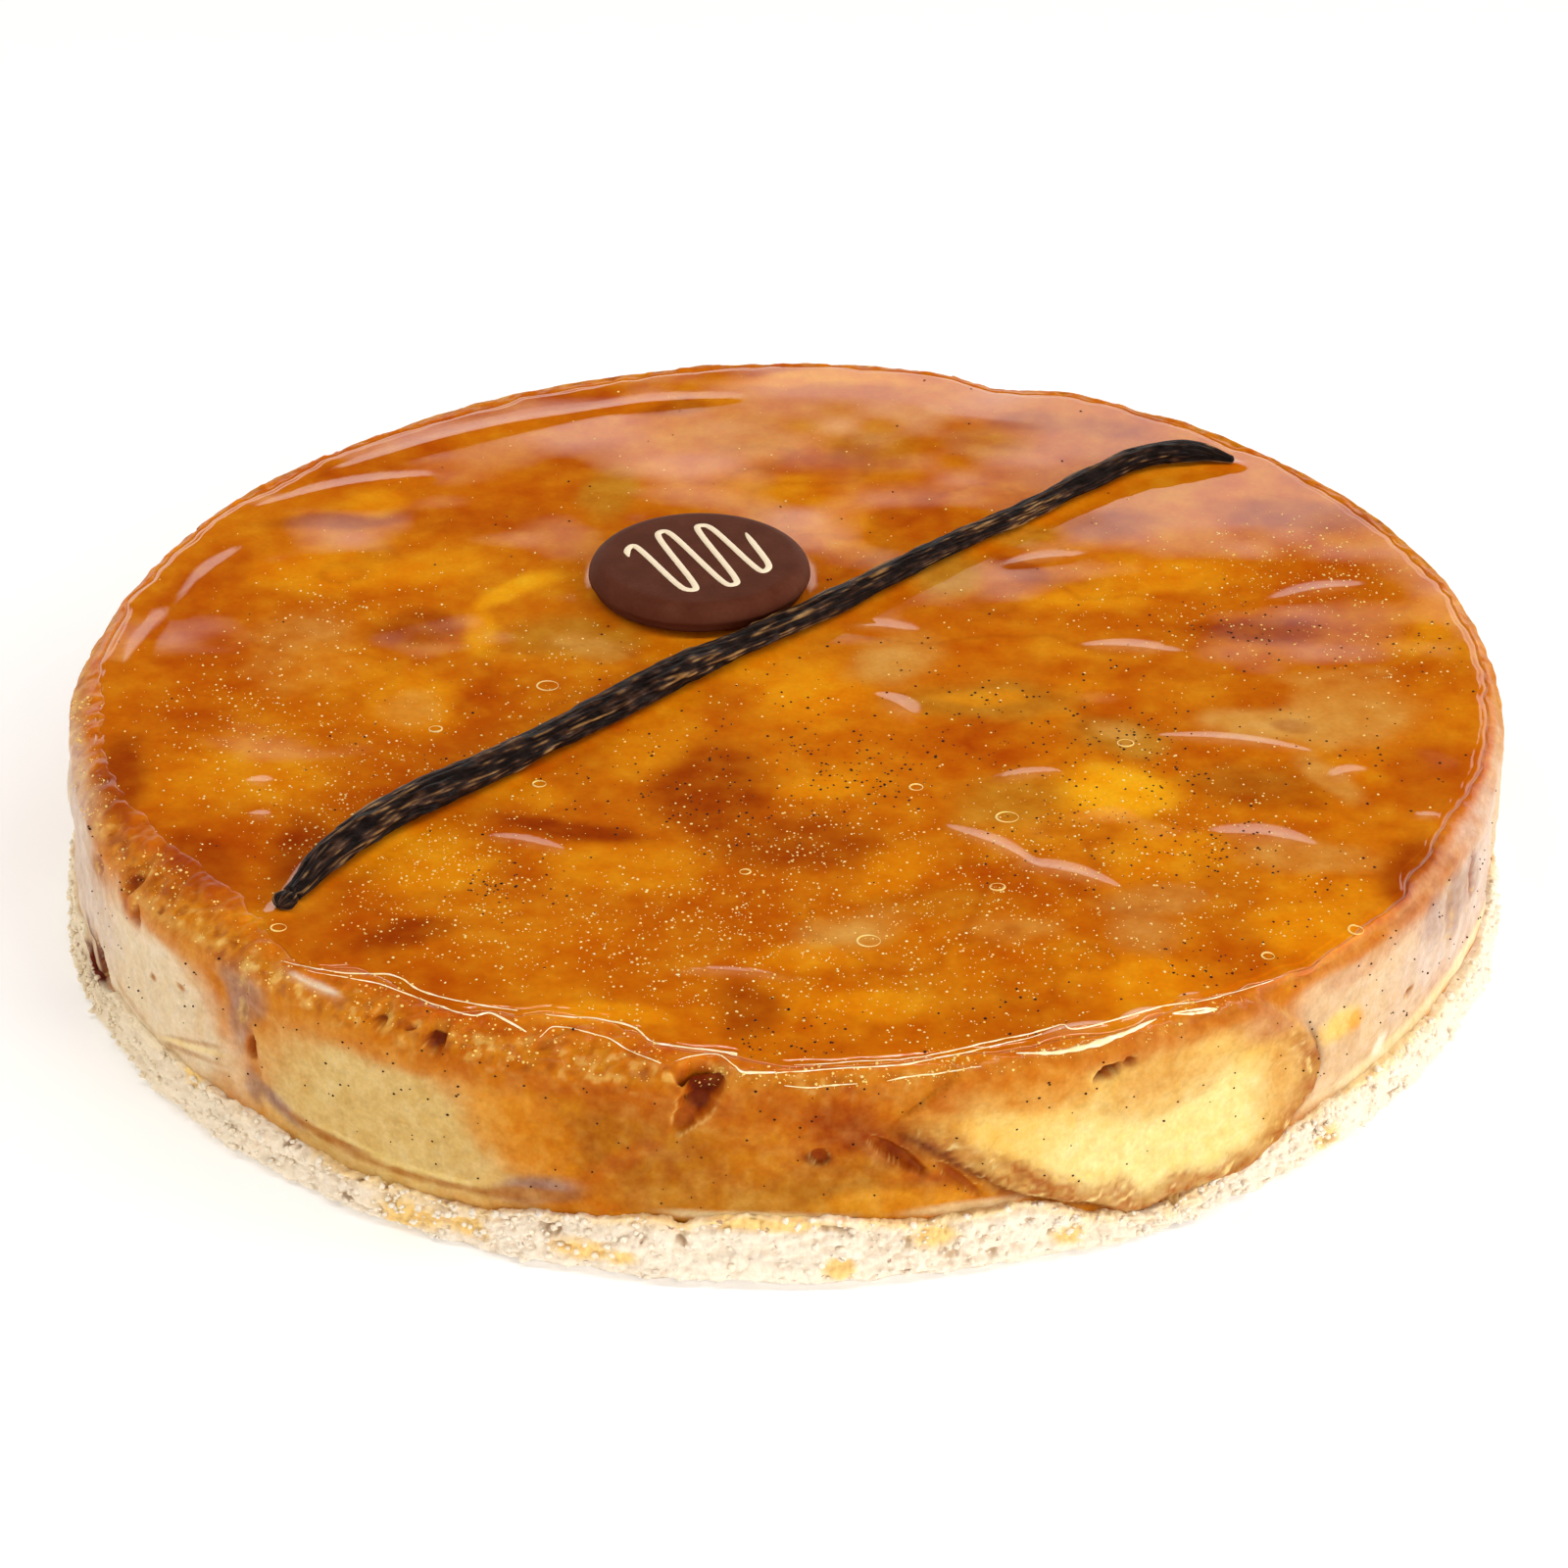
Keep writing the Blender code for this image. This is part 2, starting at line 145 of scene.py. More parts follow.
world = bpy.data.worlds.new("light_tent")
bpy.context.scene.world = world
world.use_nodes = True
tent = world.node_tree
direction = tent.nodes.new("ShaderNodeTexCoord")
split = tent.nodes.new("ShaderNodeSeparateXYZ")
edge = tent.nodes.new("ShaderNodeMapRange")
edge.inputs["From Min"].default_value = TENT_TOP - TENT_EDGE
edge.inputs["From Max"].default_value = TENT_TOP + TENT_EDGE
edge.inputs["To Min"].default_value = TENT_GLOW
edge.inputs["To Max"].default_value = CEILING_GLOW
tent.links.new(direction.outputs["Generated"], split.inputs["Vector"])
lean = tent.nodes.new("ShaderNodeMath")
lean.operation = "MULTIPLY_ADD"
lean.inputs[1].default_value = -TENT_LEAN
tent.links.new(split.outputs["X"], lean.inputs[0])
tent.links.new(split.outputs["Z"], lean.inputs[2])
tent.links.new(lean.outputs["Value"], edge.inputs["Value"])
tent.links.new(edge.outputs["Result"], tent.nodes["Background"].inputs["Strength"])
tent.nodes["Background"].inputs["Color"].default_value = (*WARM_WHITE, 1.0)


def add_light(name, place, size, power, colour, mirrored):
    """A rectangular light that looks at the tart; mirrored says if the wet glaze reflects it."""
    light_data = bpy.data.lights.new(name, "AREA")
    light_data.shape = "RECTANGLE"
    light_data.size, light_data.size_y = size
    light_data.energy = power
    light_data.color = colour
    light = bpy.data.objects.new(name, light_data)
    light.location = place
    light.rotation_euler = (-Vector(place)).to_track_quat("-Z", "Y").to_euler()
    light.visible_camera = False
    light.visible_glossy = mirrored
    bpy.context.scene.collection.objects.link(light)


add_light("strip_light", (0.0, STRIP_Y, STRIP_HEIGHT), STRIP_SIZE, STRIP_POWER, WARM_WHITE, True)
add_light("key_light", KEY_PLACE, (KEY_SIZE, KEY_SIZE), KEY_POWER, KEY_WHITE, False)

bpy.ops.mesh.primitive_plane_add(size=FLOOR_SIZE, location=(0.0, 0.0, 0.0))
floor = bpy.context.object
floor.name = "studio_floor"
floor_paint = bpy.data.materials.new("white_floor")
floor_paint.use_nodes = True
floor_shader = floor_paint.node_tree.nodes["Principled BSDF"]
floor_shader.inputs["Base Color"].default_value = FLOOR_WHITE
floor_shader.inputs["Roughness"].default_value = 0.9
floor_shader.inputs["Specular IOR Level"].default_value = 0.1
floor_shader.inputs["Emission Color"].default_value = FLOOR_LIGHT
floor_shader.inputs["Emission Strength"].default_value = FLOOR_GLOW
floor.data.materials.append(floor_paint)
bpy.context.scene.view_settings.view_transform = "Standard"
print("tent up to", round(math.degrees(math.asin(TENT_TOP)), 1), "degrees, strip", STRIP_SIZE)

# %% [markdown]
# Fruit and crumb have no straight rule, so their small forms come from smooth random values on a
# lattice, blended between its corners. The draw is seeded, so that every run gives the same tart.

# %% Smooth random values
LATTICE_SIZE = 64
LATTICE = np.random.default_rng(7).random((LATTICE_SIZE,) * 3) * 2 - 1


def wobble(points, cell, layer=0):
    """Values from -1 to 1 that change smoothly over the length of one cell."""
    place = points / cell + layer * 17.31
    corner_at = np.floor(place).astype(int)
    part = place - corner_at
    part = part * part * (3 - 2 * part)
    total = np.zeros(len(points))
    for corner in np.ndindex(2, 2, 2):
        near = np.where(corner, part, 1 - part).prod(axis=1)
        x, y, z = ((corner_at + corner) % LATTICE_SIZE).T
        total += near * LATTICE[x, y, z]
    return total


def rough(points, cell, layer=0, octaves=3):
    """Wobble with finer and weaker copies of itself on top."""
    return sum(wobble(points, cell / 2**k, layer + k) / 2**k for k in range(octaves)) / 1.6


def cell_distance(points, cell, layer=0):
    """Distance to the nearest of the random spots, one in each cell, as a share of the cell."""
    place = points / cell + layer * 9.7
    home = np.floor(place).astype(int)
    nearest = np.full(len(points), 9.0)
    for step in np.ndindex(3, 3, 3):
        there = home + step - 1
        x, y, z = (there % LATTICE_SIZE).T
        spot = np.stack([LATTICE[x, y, z], LATTICE[y, z, x], LATTICE[z, x, y]], axis=1)
        nearest = np.minimum(nearest, np.linalg.norm(there + 0.5 + spot * 0.45 - place, axis=1))
    return nearest


def bell(distance, half_width):
    """1 in the middle of a feature, falling away smoothly past its half width."""
    return np.exp(-((distance / half_width) ** 2))


def ease(value, low, high):
    """0 below low, 1 above high, and a smooth rise between; both may differ from point to point."""
    part = np.clip((value - low) / (high - low), 0.0, 1.0)
    return part * part * (3 - 2 * part)


def angle_gap(angle, middle):
    """Degrees from the middle angle to this one, the short way round."""
    return (angle - middle + 180.0) % 360.0 - 180.0


def arc_length(angle, middle):
    """Distance along the side of the tart, from the middle angle to this one."""
    return np.radians(angle_gap(angle, middle)) * TART_RADIUS


def directions(angle):
    """Unit vectors in plan for angles in degrees."""
    turn = np.radians(angle)
    return np.column_stack([np.cos(turn), np.sin(turn)])


def turned(dx, dy, degrees):
    """Distances along and across an axis that is turned by some degrees."""
    turn = math.radians(degrees)
    return dx * math.cos(turn) + dy * math.sin(turn), dy * math.cos(turn) - dx * math.sin(turn)


print("wobble at three places:", wobble(np.array([[0, 0, 0], [0.3, 0, 0], [0.6, 0, 0]]), 1.0).round(3))

# %% [markdown]
# The same few mesh forms come back on every piece: a band between two rings, a tube swept along
# a route, and a small lump copied to many places. Each of them is plain arrays of points and
# faces, which is quick and keeps full control over the shape.

# %% Mesh builders


def band(first, second, count):
    """Faces between two rings of the same count, given the index at which each ring starts."""
    k = np.arange(count)
    after = (k + 1) % count
    return np.stack([first + k, first + after, second + after, second + k], axis=1).tolist()


def halving_band(first, second, count):
    """Faces between a ring of count points and one of half as many inside it."""
    k = np.arange(count // 2)
    after = (k + 1) % (count // 2)
    a, b, c = first + 2 * k, first + 2 * k + 1, first + (2 * k + 2) % count
    d, e = second + k, second + after
    corners = [(a, b, d), (b, e, d), (b, c, e)]
    return [face for trio in corners for face in np.stack(trio, axis=1).tolist()]


def make_piece(name, points, faces, finish, replaced=()):
    """A smooth shaded piece that rides on the tart and takes the finish it is given."""
    data = bpy.data.meshes.new(name)
    points = np.clip(points, np.array(cad_box[0]), np.array(cad_box[1]))
    data.from_pydata(points, [], faces)
    data.update()
    data.shade_smooth()
    data.materials.append(finish)
    piece = bpy.data.objects.new(name, data)
    bpy.context.scene.collection.objects.link(piece)
    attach(piece, "root")
    if replaced:
        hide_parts(*replaced)
    print(name, "points:", len(points), "faces:", len(faces))
    return piece


def add_values(piece, name, values):
    """Stores one number for each point, which the material reads by name."""
    piece.data.attributes.new(name, "FLOAT", "POINT").data.foreach_set("value", values)


def add_colours(piece, name, colours):
    """Stores one colour for each point."""
    rgba = np.column_stack([colours, np.ones(len(colours))]).astype(np.float32)
    piece.data.attributes.new(name, "FLOAT_COLOR", "POINT").data.foreach_set("color", rgba.ravel())


def sweep(route, half_widths, half_heights, sides, relief=None):
    """A closed tube along a route that runs level; relief gives a factor for each point."""
    ahead = np.gradient(route, axis=0)
    sideways = np.stack([-ahead[:, 1], ahead[:, 0], np.zeros(len(route))], axis=1)
    sideways /= np.linalg.norm(sideways, axis=1)[:, None]
    turn = np.arange(sides) * 2 * math.pi / sides
    swell = np.ones((len(route), sides)) if relief is None else relief
    across = (half_widths[:, None] * np.cos(turn) * swell)[..., None] * sideways[:, None, :]
    rise = (half_heights[:, None] * np.sin(turn) * swell)[..., None] * np.array([0.0, 0.0, 1.0])
    points = (route[:, None, :] + across + rise).reshape(-1, 3)
    faces = []
    for k in range(len(route) - 1):
        faces += band(k * sides, (k + 1) * sides, sides)
    last = (len(route) - 1) * sides
    faces.append(list(range(sides))[::-1])
    faces.append(list(range(last, last + sides)))
    return points, faces


def smooth_route(knots, steps):
    """Points on a smooth curve through the knots, with the given steps between each two."""
    knots = np.array(knots)
    padded = np.vstack([2 * knots[0] - knots[1], knots, 2 * knots[-1] - knots[-2]])
    t = (np.arange(steps) / steps)[:, None]
    points = []
    for before, first, second, after in zip(padded, padded[1:], padded[2:], padded[3:]):
        bend = 2 * before - 5 * first + 4 * second - after
        twist = 3 * first - before - 3 * second + after
        points.append(0.5 * (2 * first + (second - before) * t + bend * t**2 + twist * t**3))
    return np.vstack(points + [knots[-1:]])


print("mesh builders ready")

# %% [markdown]
# The pod and the disc lie on the glaze, and the glaze climbs a little up whatever lies on it. So
# the pod's route is settled before the glaze. It is the route of its solid: from the curled stalk
# at the front left to the pointed tip at the back right, with the pod's thickness along the way.

# %% Where the pod lies
POD_ROUTE = (
    (-0.0653, -0.0625, 0.36),
    (-0.0630, -0.0585, 0.60),
    (-0.0592, -0.0501, 0.96),
    (-0.0517, -0.0398, 1.08),
    (-0.0398, -0.0278, 1.05),
    (-0.0276, -0.0150, 1.00),
    (-0.0149, -0.0017, 1.08),
    (-0.0084, 0.0044, 0.94),
    (0.0059, 0.0175, 0.88),
    (0.0232, 0.0351, 0.78),
    (0.0361, 0.0465, 0.70),
    (0.0462, 0.0563, 0.78),
    (0.0540, 0.0627, 0.88),
    (0.0620, 0.0649, 0.84),
    (0.0684, 0.0637, 0.26),
)
POD_HALF_WIDTH = 0.0027
POD_HALF_THICKNESS = 0.00155
POD_LIFT = 0.0005
pod_route = smooth_route(POD_ROUTE, 24)
pod_length = np.linalg.norm(np.diff(pod_route[:, :2], axis=0), axis=1).sum()
print("pod length", round(pod_length * 1000), "mm")


def distance_to_pod(flat):
    """Distance from each point on the top to the pod's edge, below zero under the pod."""
    nearest = np.full(len(flat), 1.0)
    for x, y, size in pod_route[::3]:
        away = np.hypot(flat[:, 0] - x, flat[:, 1] - y) - POD_HALF_WIDTH * size
        nearest = np.minimum(nearest, away)
    return nearest


# %% [markdown]
# The glaze is poured over the turned-out apple and sets nearly level, but it stops short of the
# rim, along a wandering edge. Outside it the fruit has sunk and crumbled a little. The list gives,
# by angle, the share of the radius that the glaze reaches and how far the fruit has sunk.

# %% The edge of the glaze
# Angle, reach of the glaze as a share of the radius, fall of the fruit's rim in mm
GLAZE_EDGE = (
    (4, 0.985, 0.7),
    (22, 0.982, 0.3),
    (45, 0.985, 0.2),
    (62, 0.985, 0.4),
    (70, 0.968, 1.5),
    (77, 0.984, 0.6),
    (90, 0.988, 0.2),
    (104, 0.980, 0.3),
    (121, 0.972, 0.6),
    (140, 0.977, 0.5),
    (150, 0.980, 0.7),
    (159, 0.978, 1.7),
    (172, 0.970, 1.9),
    (186, 0.966, 1.6),
    (198, 0.962, 2.2),
    (206, 0.946, 3.4),
    (214, 0.930, 3.8),
    (222, 0.938, 3.0),
    (227, 0.958, 1.8),
    (230, 0.968, 1.4),
    (236, 0.928, 2.0),
    (240, 0.938, 2.4),
    (244, 0.946, 2.4),
    (248, 0.925, 2.6),
    (251, 0.906, 2.8),
    (255, 0.898, 2.9),
    (258.5, 0.916, 2.8),
    (261, 0.945, 2.6),
    (267, 0.958, 1.8),
    (271, 0.978, 1.4),
    (282, 0.974, 1.4),
    (287, 0.980, 1.4),
    (291.5, 0.980, 1.5),
    (297, 0.983, 1.4),
    (301, 0.980, 1.4),
    (306, 0.984, 1.4),
    (312, 0.990, 1.5),
    (324, 0.990, 1.6),
    (329, 0.978, 1.8),
    (336, 0.972, 1.8),
    (346, 0.982, 1.2),
)


def follow(rows, angle, column):
    """Eased values between the rows of a list that runs once round the tart."""
    table = np.array(rows)
    angles = np.append(table[:, 0], table[0, 0] + 360.0)
    values = np.append(table[:, column], table[0, column])
    place = (angle - angles[0]) % 360.0 + angles[0]
    k = np.clip(np.searchsorted(angles, place, side="right") - 1, 0, len(table) - 1)
    part = (place - angles[k]) / (angles[k + 1] - angles[k])
    return values[k] + (values[k + 1] - values[k]) * part * part * (3 - 2 * part)


def glaze_reach(angle):
    """Radius of the glaze's edge at each angle, with its small squiggles."""
    around = np.column_stack([directions(angle), angle * 0]) * 0.1
    squiggle = 0.0007 * wobble(around, 0.0055, 8) + 0.0004 * wobble(around, 0.0024, 9)
    return TART_RADIUS * follow(GLAZE_EDGE, angle, 1) + squiggle


print("glaze reaches", glaze_reach(np.array([90.0, 215.0, 255.0, 300.0])).round(4))

# %% [markdown]
# The glaze is modelled as height, not as bump, because a mirror shows every real slope: slow
# swells over the apple slices, a few sharp little humps where an edge of fruit pokes up, and a
# fillet along the pod and round the disc. A millimetre inside its edge the glaze steps down by a
# quarter of a millimetre. The step mirrors the strip as a soft line, beside the beads laid along
# the edge further down, whose white is a painted highlight.

# %% Height of the glaze
# The fruit lies thicker towards one side: the angle of the highest rim, how much higher it is,
# and the shares of the radius between which the top rises
HIGH_ANGLE = 60
HIGH_RISE = 0.0020
RISE_FROM = -0.30
RISE_TO = 1.15
# Where the rim falls away more: angle, half width in degrees, fall
RIM_FALLS = ((314, 15, 0.0010), (70, 3.5, 0.0012))
RIM_FROM = 0.86
STEP_FALL = 0.00025
STEP_SLOPE = 0.62
STEP_INSIDE = 1.1
FILLET_HEIGHT = 0.0004
DISC_FILLET_HEIGHT = 0.0003
FILLET_REACH = 0.0010
UNDER_POD = 0.0004
UNDER_DISC = 0.0008

# Humps under the glaze: x, y, half length, half width, turn in degrees, height, all in mm
HUMPS = (
    (16, -8.5, 5.0, 1.6, -65, 0.28),
    (28, -46, 9.0, 1.0, -42, 0.22),
    (37, -53, 8.0, 1.3, -24, 0.26),
    (62, -18, 11.0, 1.1, -12, 0.22),
    (64, -43.5, 7.0, 1.7, -14, 0.26),
    (38, 36, 6.0, 0.9, 14, 0.18),
    (49, 9, 7.0, 1.2, -8, 0.20),
    (77, 26, 7.0, 1.2, 20, 0.22),
    (-34, -45, 6.5, 0.8, -22, 0.17),
    (-6, -77, 9.0, 0.7, -6, 0.14),
    (36.2, -90.0, 5.6, 0.8, 22, 0.34),
    (44.8, -86.2, 3.6, 0.7, 27, 0.30),
    (51.0, -82.2, 2.4, 0.6, 32, 0.24),
    (-71, -29, 1.6, 0.8, -60, 0.16),
    (-70, -38, 1.8, 0.8, -50, 0.16),
    (14, 15, 5.5, 1.0, -12, 0.16),
    (33, -27, 5.5, 0.9, 16, 0.17),
    (76, -27, 3.5, 1.0, 45, 0.15),
    (86, -38, 2.2, 0.7, 5, 0.14),
    (-47, 77, 26.0, 1.6, 28, 0.30),
    (-66, 59, 14.0, 1.3, 22, 0.26),
    (-20, 88, 14.0, 1.2, 12, 0.24),
    (-84, 30, 12.0, 1.4, 70, 0.22),
    (-91, 10, 12.0, 1.0, 82, 0.22),
)
# How many of the humps, from the first, also get a pale pink painted reflection in the top's colour
REFLECTION_SLIVER_COUNT = 19


def hump_shape(flat, x, y, half_length, half_width, turn):
    """A long hump that thins out to a point at both ends."""
    along, across = turned(flat[:, 0] / MM - x, flat[:, 1] / MM - y, turn)
    bowed = across - 0.06 * half_length * np.cos(along / half_length * 2.2)
    taper = np.clip(1.0 - (along / half_length) ** 2, 0.0, 1.0)
    return taper * bell(bowed, half_width * (0.35 + 0.65 * taper))


def polar(flat):
    """Angle in degrees and radius of each point."""
    return np.degrees(np.arctan2(flat[:, 1], flat[:, 0])), np.hypot(flat[:, 0], flat[:, 1])


def high_side(flat):
    """How much higher than at its low side the tart was filled at each point."""
    turn = math.radians(HIGH_ANGLE)
    towards = (flat[:, 0] * math.cos(turn) + flat[:, 1] * math.sin(turn)) / TART_RADIUS
    return HIGH_RISE * ease(towards, RISE_FROM, RISE_TO)


def seen_flat(flat):
    """Where the camera sees a point of the top, if the top were level all over."""
    return np.column_stack([flat[:, 0], flat[:, 1] + high_side(flat) / VIEW_SLANT])


def from_seen(seen):
    """The point of the top that the camera sees at this place of a level top."""
    flat = seen
    for _ in range(4):
        flat = np.column_stack([seen[:, 0], seen[:, 1] - high_side(flat) / VIEW_SLANT])
    return flat


def level_height(flat):
    """The level to which the tart was filled: flat but for slow swells and the slopes at its rim."""
    level = np.column_stack([flat, np.zeros(len(flat))])
    angle, radius = polar(flat)
    spots = np.column_stack([flat * 34.0 + (5.0, 0.0), np.full(len(flat), 1.5)])
    height = TART_HEIGHT - 0.0002 + 0.0002 * np.array([noise.noise(spot) for spot in spots])
    height += 0.00010 * wobble(level, 0.017, 3)
    height += high_side(flat)
    outward = np.clip((radius / TART_RADIUS - RIM_FROM) / (1 - RIM_FROM), 0.0, 1.2) ** 1.5
    for middle, half_width, fall in RIM_FALLS:
        height -= outward * fall * bell(angle_gap(angle, middle), half_width)
    return height


def glaze_height(flat):
    """Height of the glaze over each point of the top, given as x and y."""
    level = np.column_stack([flat, np.zeros(len(flat))])
    height = level_height(flat) + 0.000025 * wobble(level, 0.006, 5)
    seen = seen_flat(flat)
    for x, y, half_length, half_width, turn, rise in HUMPS:
        height += rise * MM * hump_shape(seen, x, y, half_length, half_width, turn)
    angle, radius = polar(flat)
    inside = (glaze_reach(angle) - radius) / MM
    meander = 0.5 * wobble(level, 0.009, 15) + 0.2 * wobble(level, 0.003, 16)
    front = bell(angle_gap(angle, 270), 52)
    fall = STEP_FALL * (0.2 + 0.8 * front)
    slope = STEP_SLOPE + 0.5 * (angle_gap(angle, 270) / 40.0) ** 2 * front
    slope += 0.12 * wobble(level, 0.007, 17)
    width = 1.5 * fall / MM / np.maximum(slope, 0.3)
    height -= fall * (1.0 - ease(inside + meander, STEP_INSIDE, STEP_INSIDE + width))
    pod_gap = np.maximum(distance_to_pod(flat) + UNDER_POD, 0.0)
    height += FILLET_HEIGHT * bell(pod_gap, FILLET_REACH)
    disc_gap = np.maximum(np.hypot(*(flat - DISC_CENTRE).T) - DISC_RADIUS + UNDER_DISC, 0.0)
    height += DISC_FILLET_HEIGHT * bell(disc_gap, FILLET_REACH)
    return height


print("glaze at the middle:", glaze_height(np.array([[0.0, -0.02], [0.05, -0.03]])).round(5))

# %% [markdown]
# The side was pressed smooth by the baking ring, so most slices lie flush and show only by their
# colour. One large slice at the front stands out: its browned skin curls over the crust. Its edge
# is drawn as a line of points, and the distance to that line shapes both its form and its colour.
# Between the slices are clefts, torn pits and small holes.

# %% Form of the side
# Slow swells of the crust's upper edge: angle, half width in degrees, rise
CRUST_SWELLS = (
    (269, 14, 0.0028),
    (298, 9, -0.0034),
    (238, 11, -0.0012),
    (322, 9, 0.0006),
    (196, 10, 0.0009),
    (48, 14, 0.0018),
    (104, 16, 0.0024),
    (150, 12, -0.0011),
)
# Small notches in it: angle, half width, fall; below zero the crust rises instead
CRUST_NOTCHES = (
    (199.0, 2.0, 0.0036),
    (203.0, 2.2, 0.0028),
    (288, 4.4, -0.0026),
    (263, 1.2, 0.0008),
    (247, 1.6, 0.0007),
)
# Angle, height of the middle, half width in degrees, half height, tilt, how far it stands out
SIDE_SLICES = (
    (214, 0.0165, 10.5, 0.0112, 3, 0.0003),
    (193, 0.0172, 8.5, 0.0105, -3, 0.0002),
    (241, 0.0168, 14.5, 0.0108, -2, 0.0004),
    (322, 0.0180, 8.5, 0.0115, 4, 0.0002),
    (340, 0.0180, 8.5, 0.0118, -5, 0.0003),
    (2, 0.0170, 12.5, 0.0108, 8, 0.0006),
    (31, 0.0190, 12.5, 0.0115, -3, 0.0003),
    (58, 0.0185, 13.0, 0.0098, 5, 0.0008),
    (84, 0.0178, 11.5, 0.0110, -6, 0.0004),
    (111, 0.0195, 14.0, 0.0100, 2, 0.0007),
    (139, 0.0178, 12.5, 0.0120, -4, 0.0003),
    (163, 0.0182, 10.5, 0.0115, 6, 0.0005),
    (179, 0.0170, 5.0, 0.0108, -3, 0.0002),
)
SLICE_CORNER = 2.6
# Where the side leans outwards towards the top: angle, half width in degrees, lean
SIDE_LEANS = ((70, 55, 0.0009), (325, 18, 0.0006), (352, 18, 0.0004))
# The large slice at the front: angle and height in mm of its edge, from its left tip to its top
BIG_SLICE_MIDDLE = 296
BIG_SLICE_PROUD = 0.0015
BIG_SLICE_EDGE = (
    (277.6, 22.5),
    (281.0, 18.6),
    (285.5, 12.6),
    (289.5, 8.9),
    (293.0, 6.2),
    (296.5, 3.3),
    (301.0, 4.3),
    (306.0, 4.0),
    (309.6, 6.6),
    (312.3, 10.5),
    (313.5, 15.0),
    (312.7, 20.0),
    (310.4, 25.0),
    (307.0, 29.5),
)
# How torn the fruit's rim is, by angle: 1 is all fibres, 0 is a smooth lip of glaze
RIM_TORN = (
    (4, 0.4),
    (40, 0.7),
    (120, 0.8),
    (176, 0.6),
    (196, 0.6),
    (204, 1.0),
    (261, 1.0),
    (267, 0.5),
    (303, 0.4),
    (309, 0.1),
    (350, 0.1),
)
# Torn pits and holes: angle, height, half width, half height, turn, depth, all in mm or degrees
PITS = (
    (263.6, 30.8, 2.2, 2.0, 0, 3.6),
    (264.4, 28.6, 2.7, 2.1, 24, 2.8),
    (263.9, 26.4, 2.4, 2.2, 16, 2.0),
    (262.9, 23.9, 1.4, 2.6, -24, 1.2),
    (272.6, 18.8, 1.2, 1.3, 0, 0.8),
    (278.2, 18.4, 4.4, 1.0, -40, 1.5),
    (282.8, 13.8, 4.2, 0.8, -44, 0.9),
    (238.9, 29.2, 1.4, 0.9, 10, 1.9),
    (243.8, 28.6, 1.7, 0.9, -12, 2.2),
    (241.6, 30.6, 1.1, 0.6, 20, 0.9),
    (293.8, 26.3, 2.1, 0.9, 12, 2.2),
    (295.6, 26.9, 0.9, 0.9, 0, 1.3),
    (226.5, 17.0, 0.8, 2.0, 0, 1.6),
    (226.0, 24.5, 0.9, 5.0, -12, 0.35),
    (201.6, 8.0, 5.2, 1.7, -41, 2.8),
    (209.6, 27.8, 1.3, 2.6, -26, 1.7),
    (211.6, 24.8, 1.6, 1.5, 30, 1.3),
    (214.6, 28.9, 0.8, 1.2, 0, 0.8),
    (203.0, 24.6, 2.4, 1.3, 32, 0.6),
    (325.4, 15.6, 0.9, 0.8, 0, 0.8),
    (332.0, 22.0, 0.9, 7.0, 6, 0.4),
    (336.6, 23.0, 1.0, 6.0, 4, 0.9),
    (350.5, 8.0, 2.4, 3.2, -30, 2.4),
    (17.2, 19.5, 1.5, 9.5, 4, 1.6),
    (27.0, 26.0, 2.4, 1.5, 0, 2.2),
    (44.3, 20.0, 1.6, 10.0, -4, 2.0),
    (72.0, 19.0, 1.3, 9.5, 5, 1.5),
    (88.0, 26.6, 2.5, 1.4, 0, 2.2),
    (96.3, 20.5, 1.7, 9.8, -4, 2.4),
    (126.7, 19.0, 1.5, 9.5, 4, 1.8),
    (133.0, 23.8, 2.1, 1.6, 0, 2.0),
    (151.5, 20.0, 1.6, 10.0, -3, 2.2),
    (174.0, 19.0, 1.4, 10.0, 3, 1.5),
)


def side_points(angle, height):
    """Points on a plain drum, which is where the random values of the side are read."""
    return np.column_stack([directions(angle), height / TART_RADIUS]) * TART_RADIUS


def ledge_height(angle):
    """Height of the line on the side where the fruit meets the crust."""
    height = LEDGE_HEIGHT + 0.0003 * np.sin(np.radians(angle) * 7.0)
    for middle, half_width, rise in CRUST_SWELLS:
        height = height + rise * bell(angle_gap(angle, middle), half_width)
    for middle, half_width, fall in CRUST_NOTCHES:
        height = height - fall * bell(angle_gap(angle, middle), half_width)
    return height + 0.0004 * wobble(side_points(angle, 0.0 * angle), 0.0030, 85)


def patch_weight(dx, dy, half_length, half_width, turn, bend, soft=0.8):
    """1 inside a soft ellipse and 0 outside it; bend moves its outline in and out."""
    along, across = turned(dx, dy, turn)
    reach = np.hypot(along / half_length, across / half_width) + bend
    return 1.0 - ease(reach, 1.25 - soft, 1.25)


def slice_edge(angle, height, middle, level, half_width, half_height, tilt):
    """0 in the middle of a slice and 1 on its outline."""
    along, upright = turned(arc_length(angle, middle), height - level, tilt)
    reach = np.abs(along / (math.radians(half_width) * TART_RADIUS)) ** SLICE_CORNER
    reach += np.abs(upright / half_height) ** SLICE_CORNER
    return reach ** (1 / SLICE_CORNER)


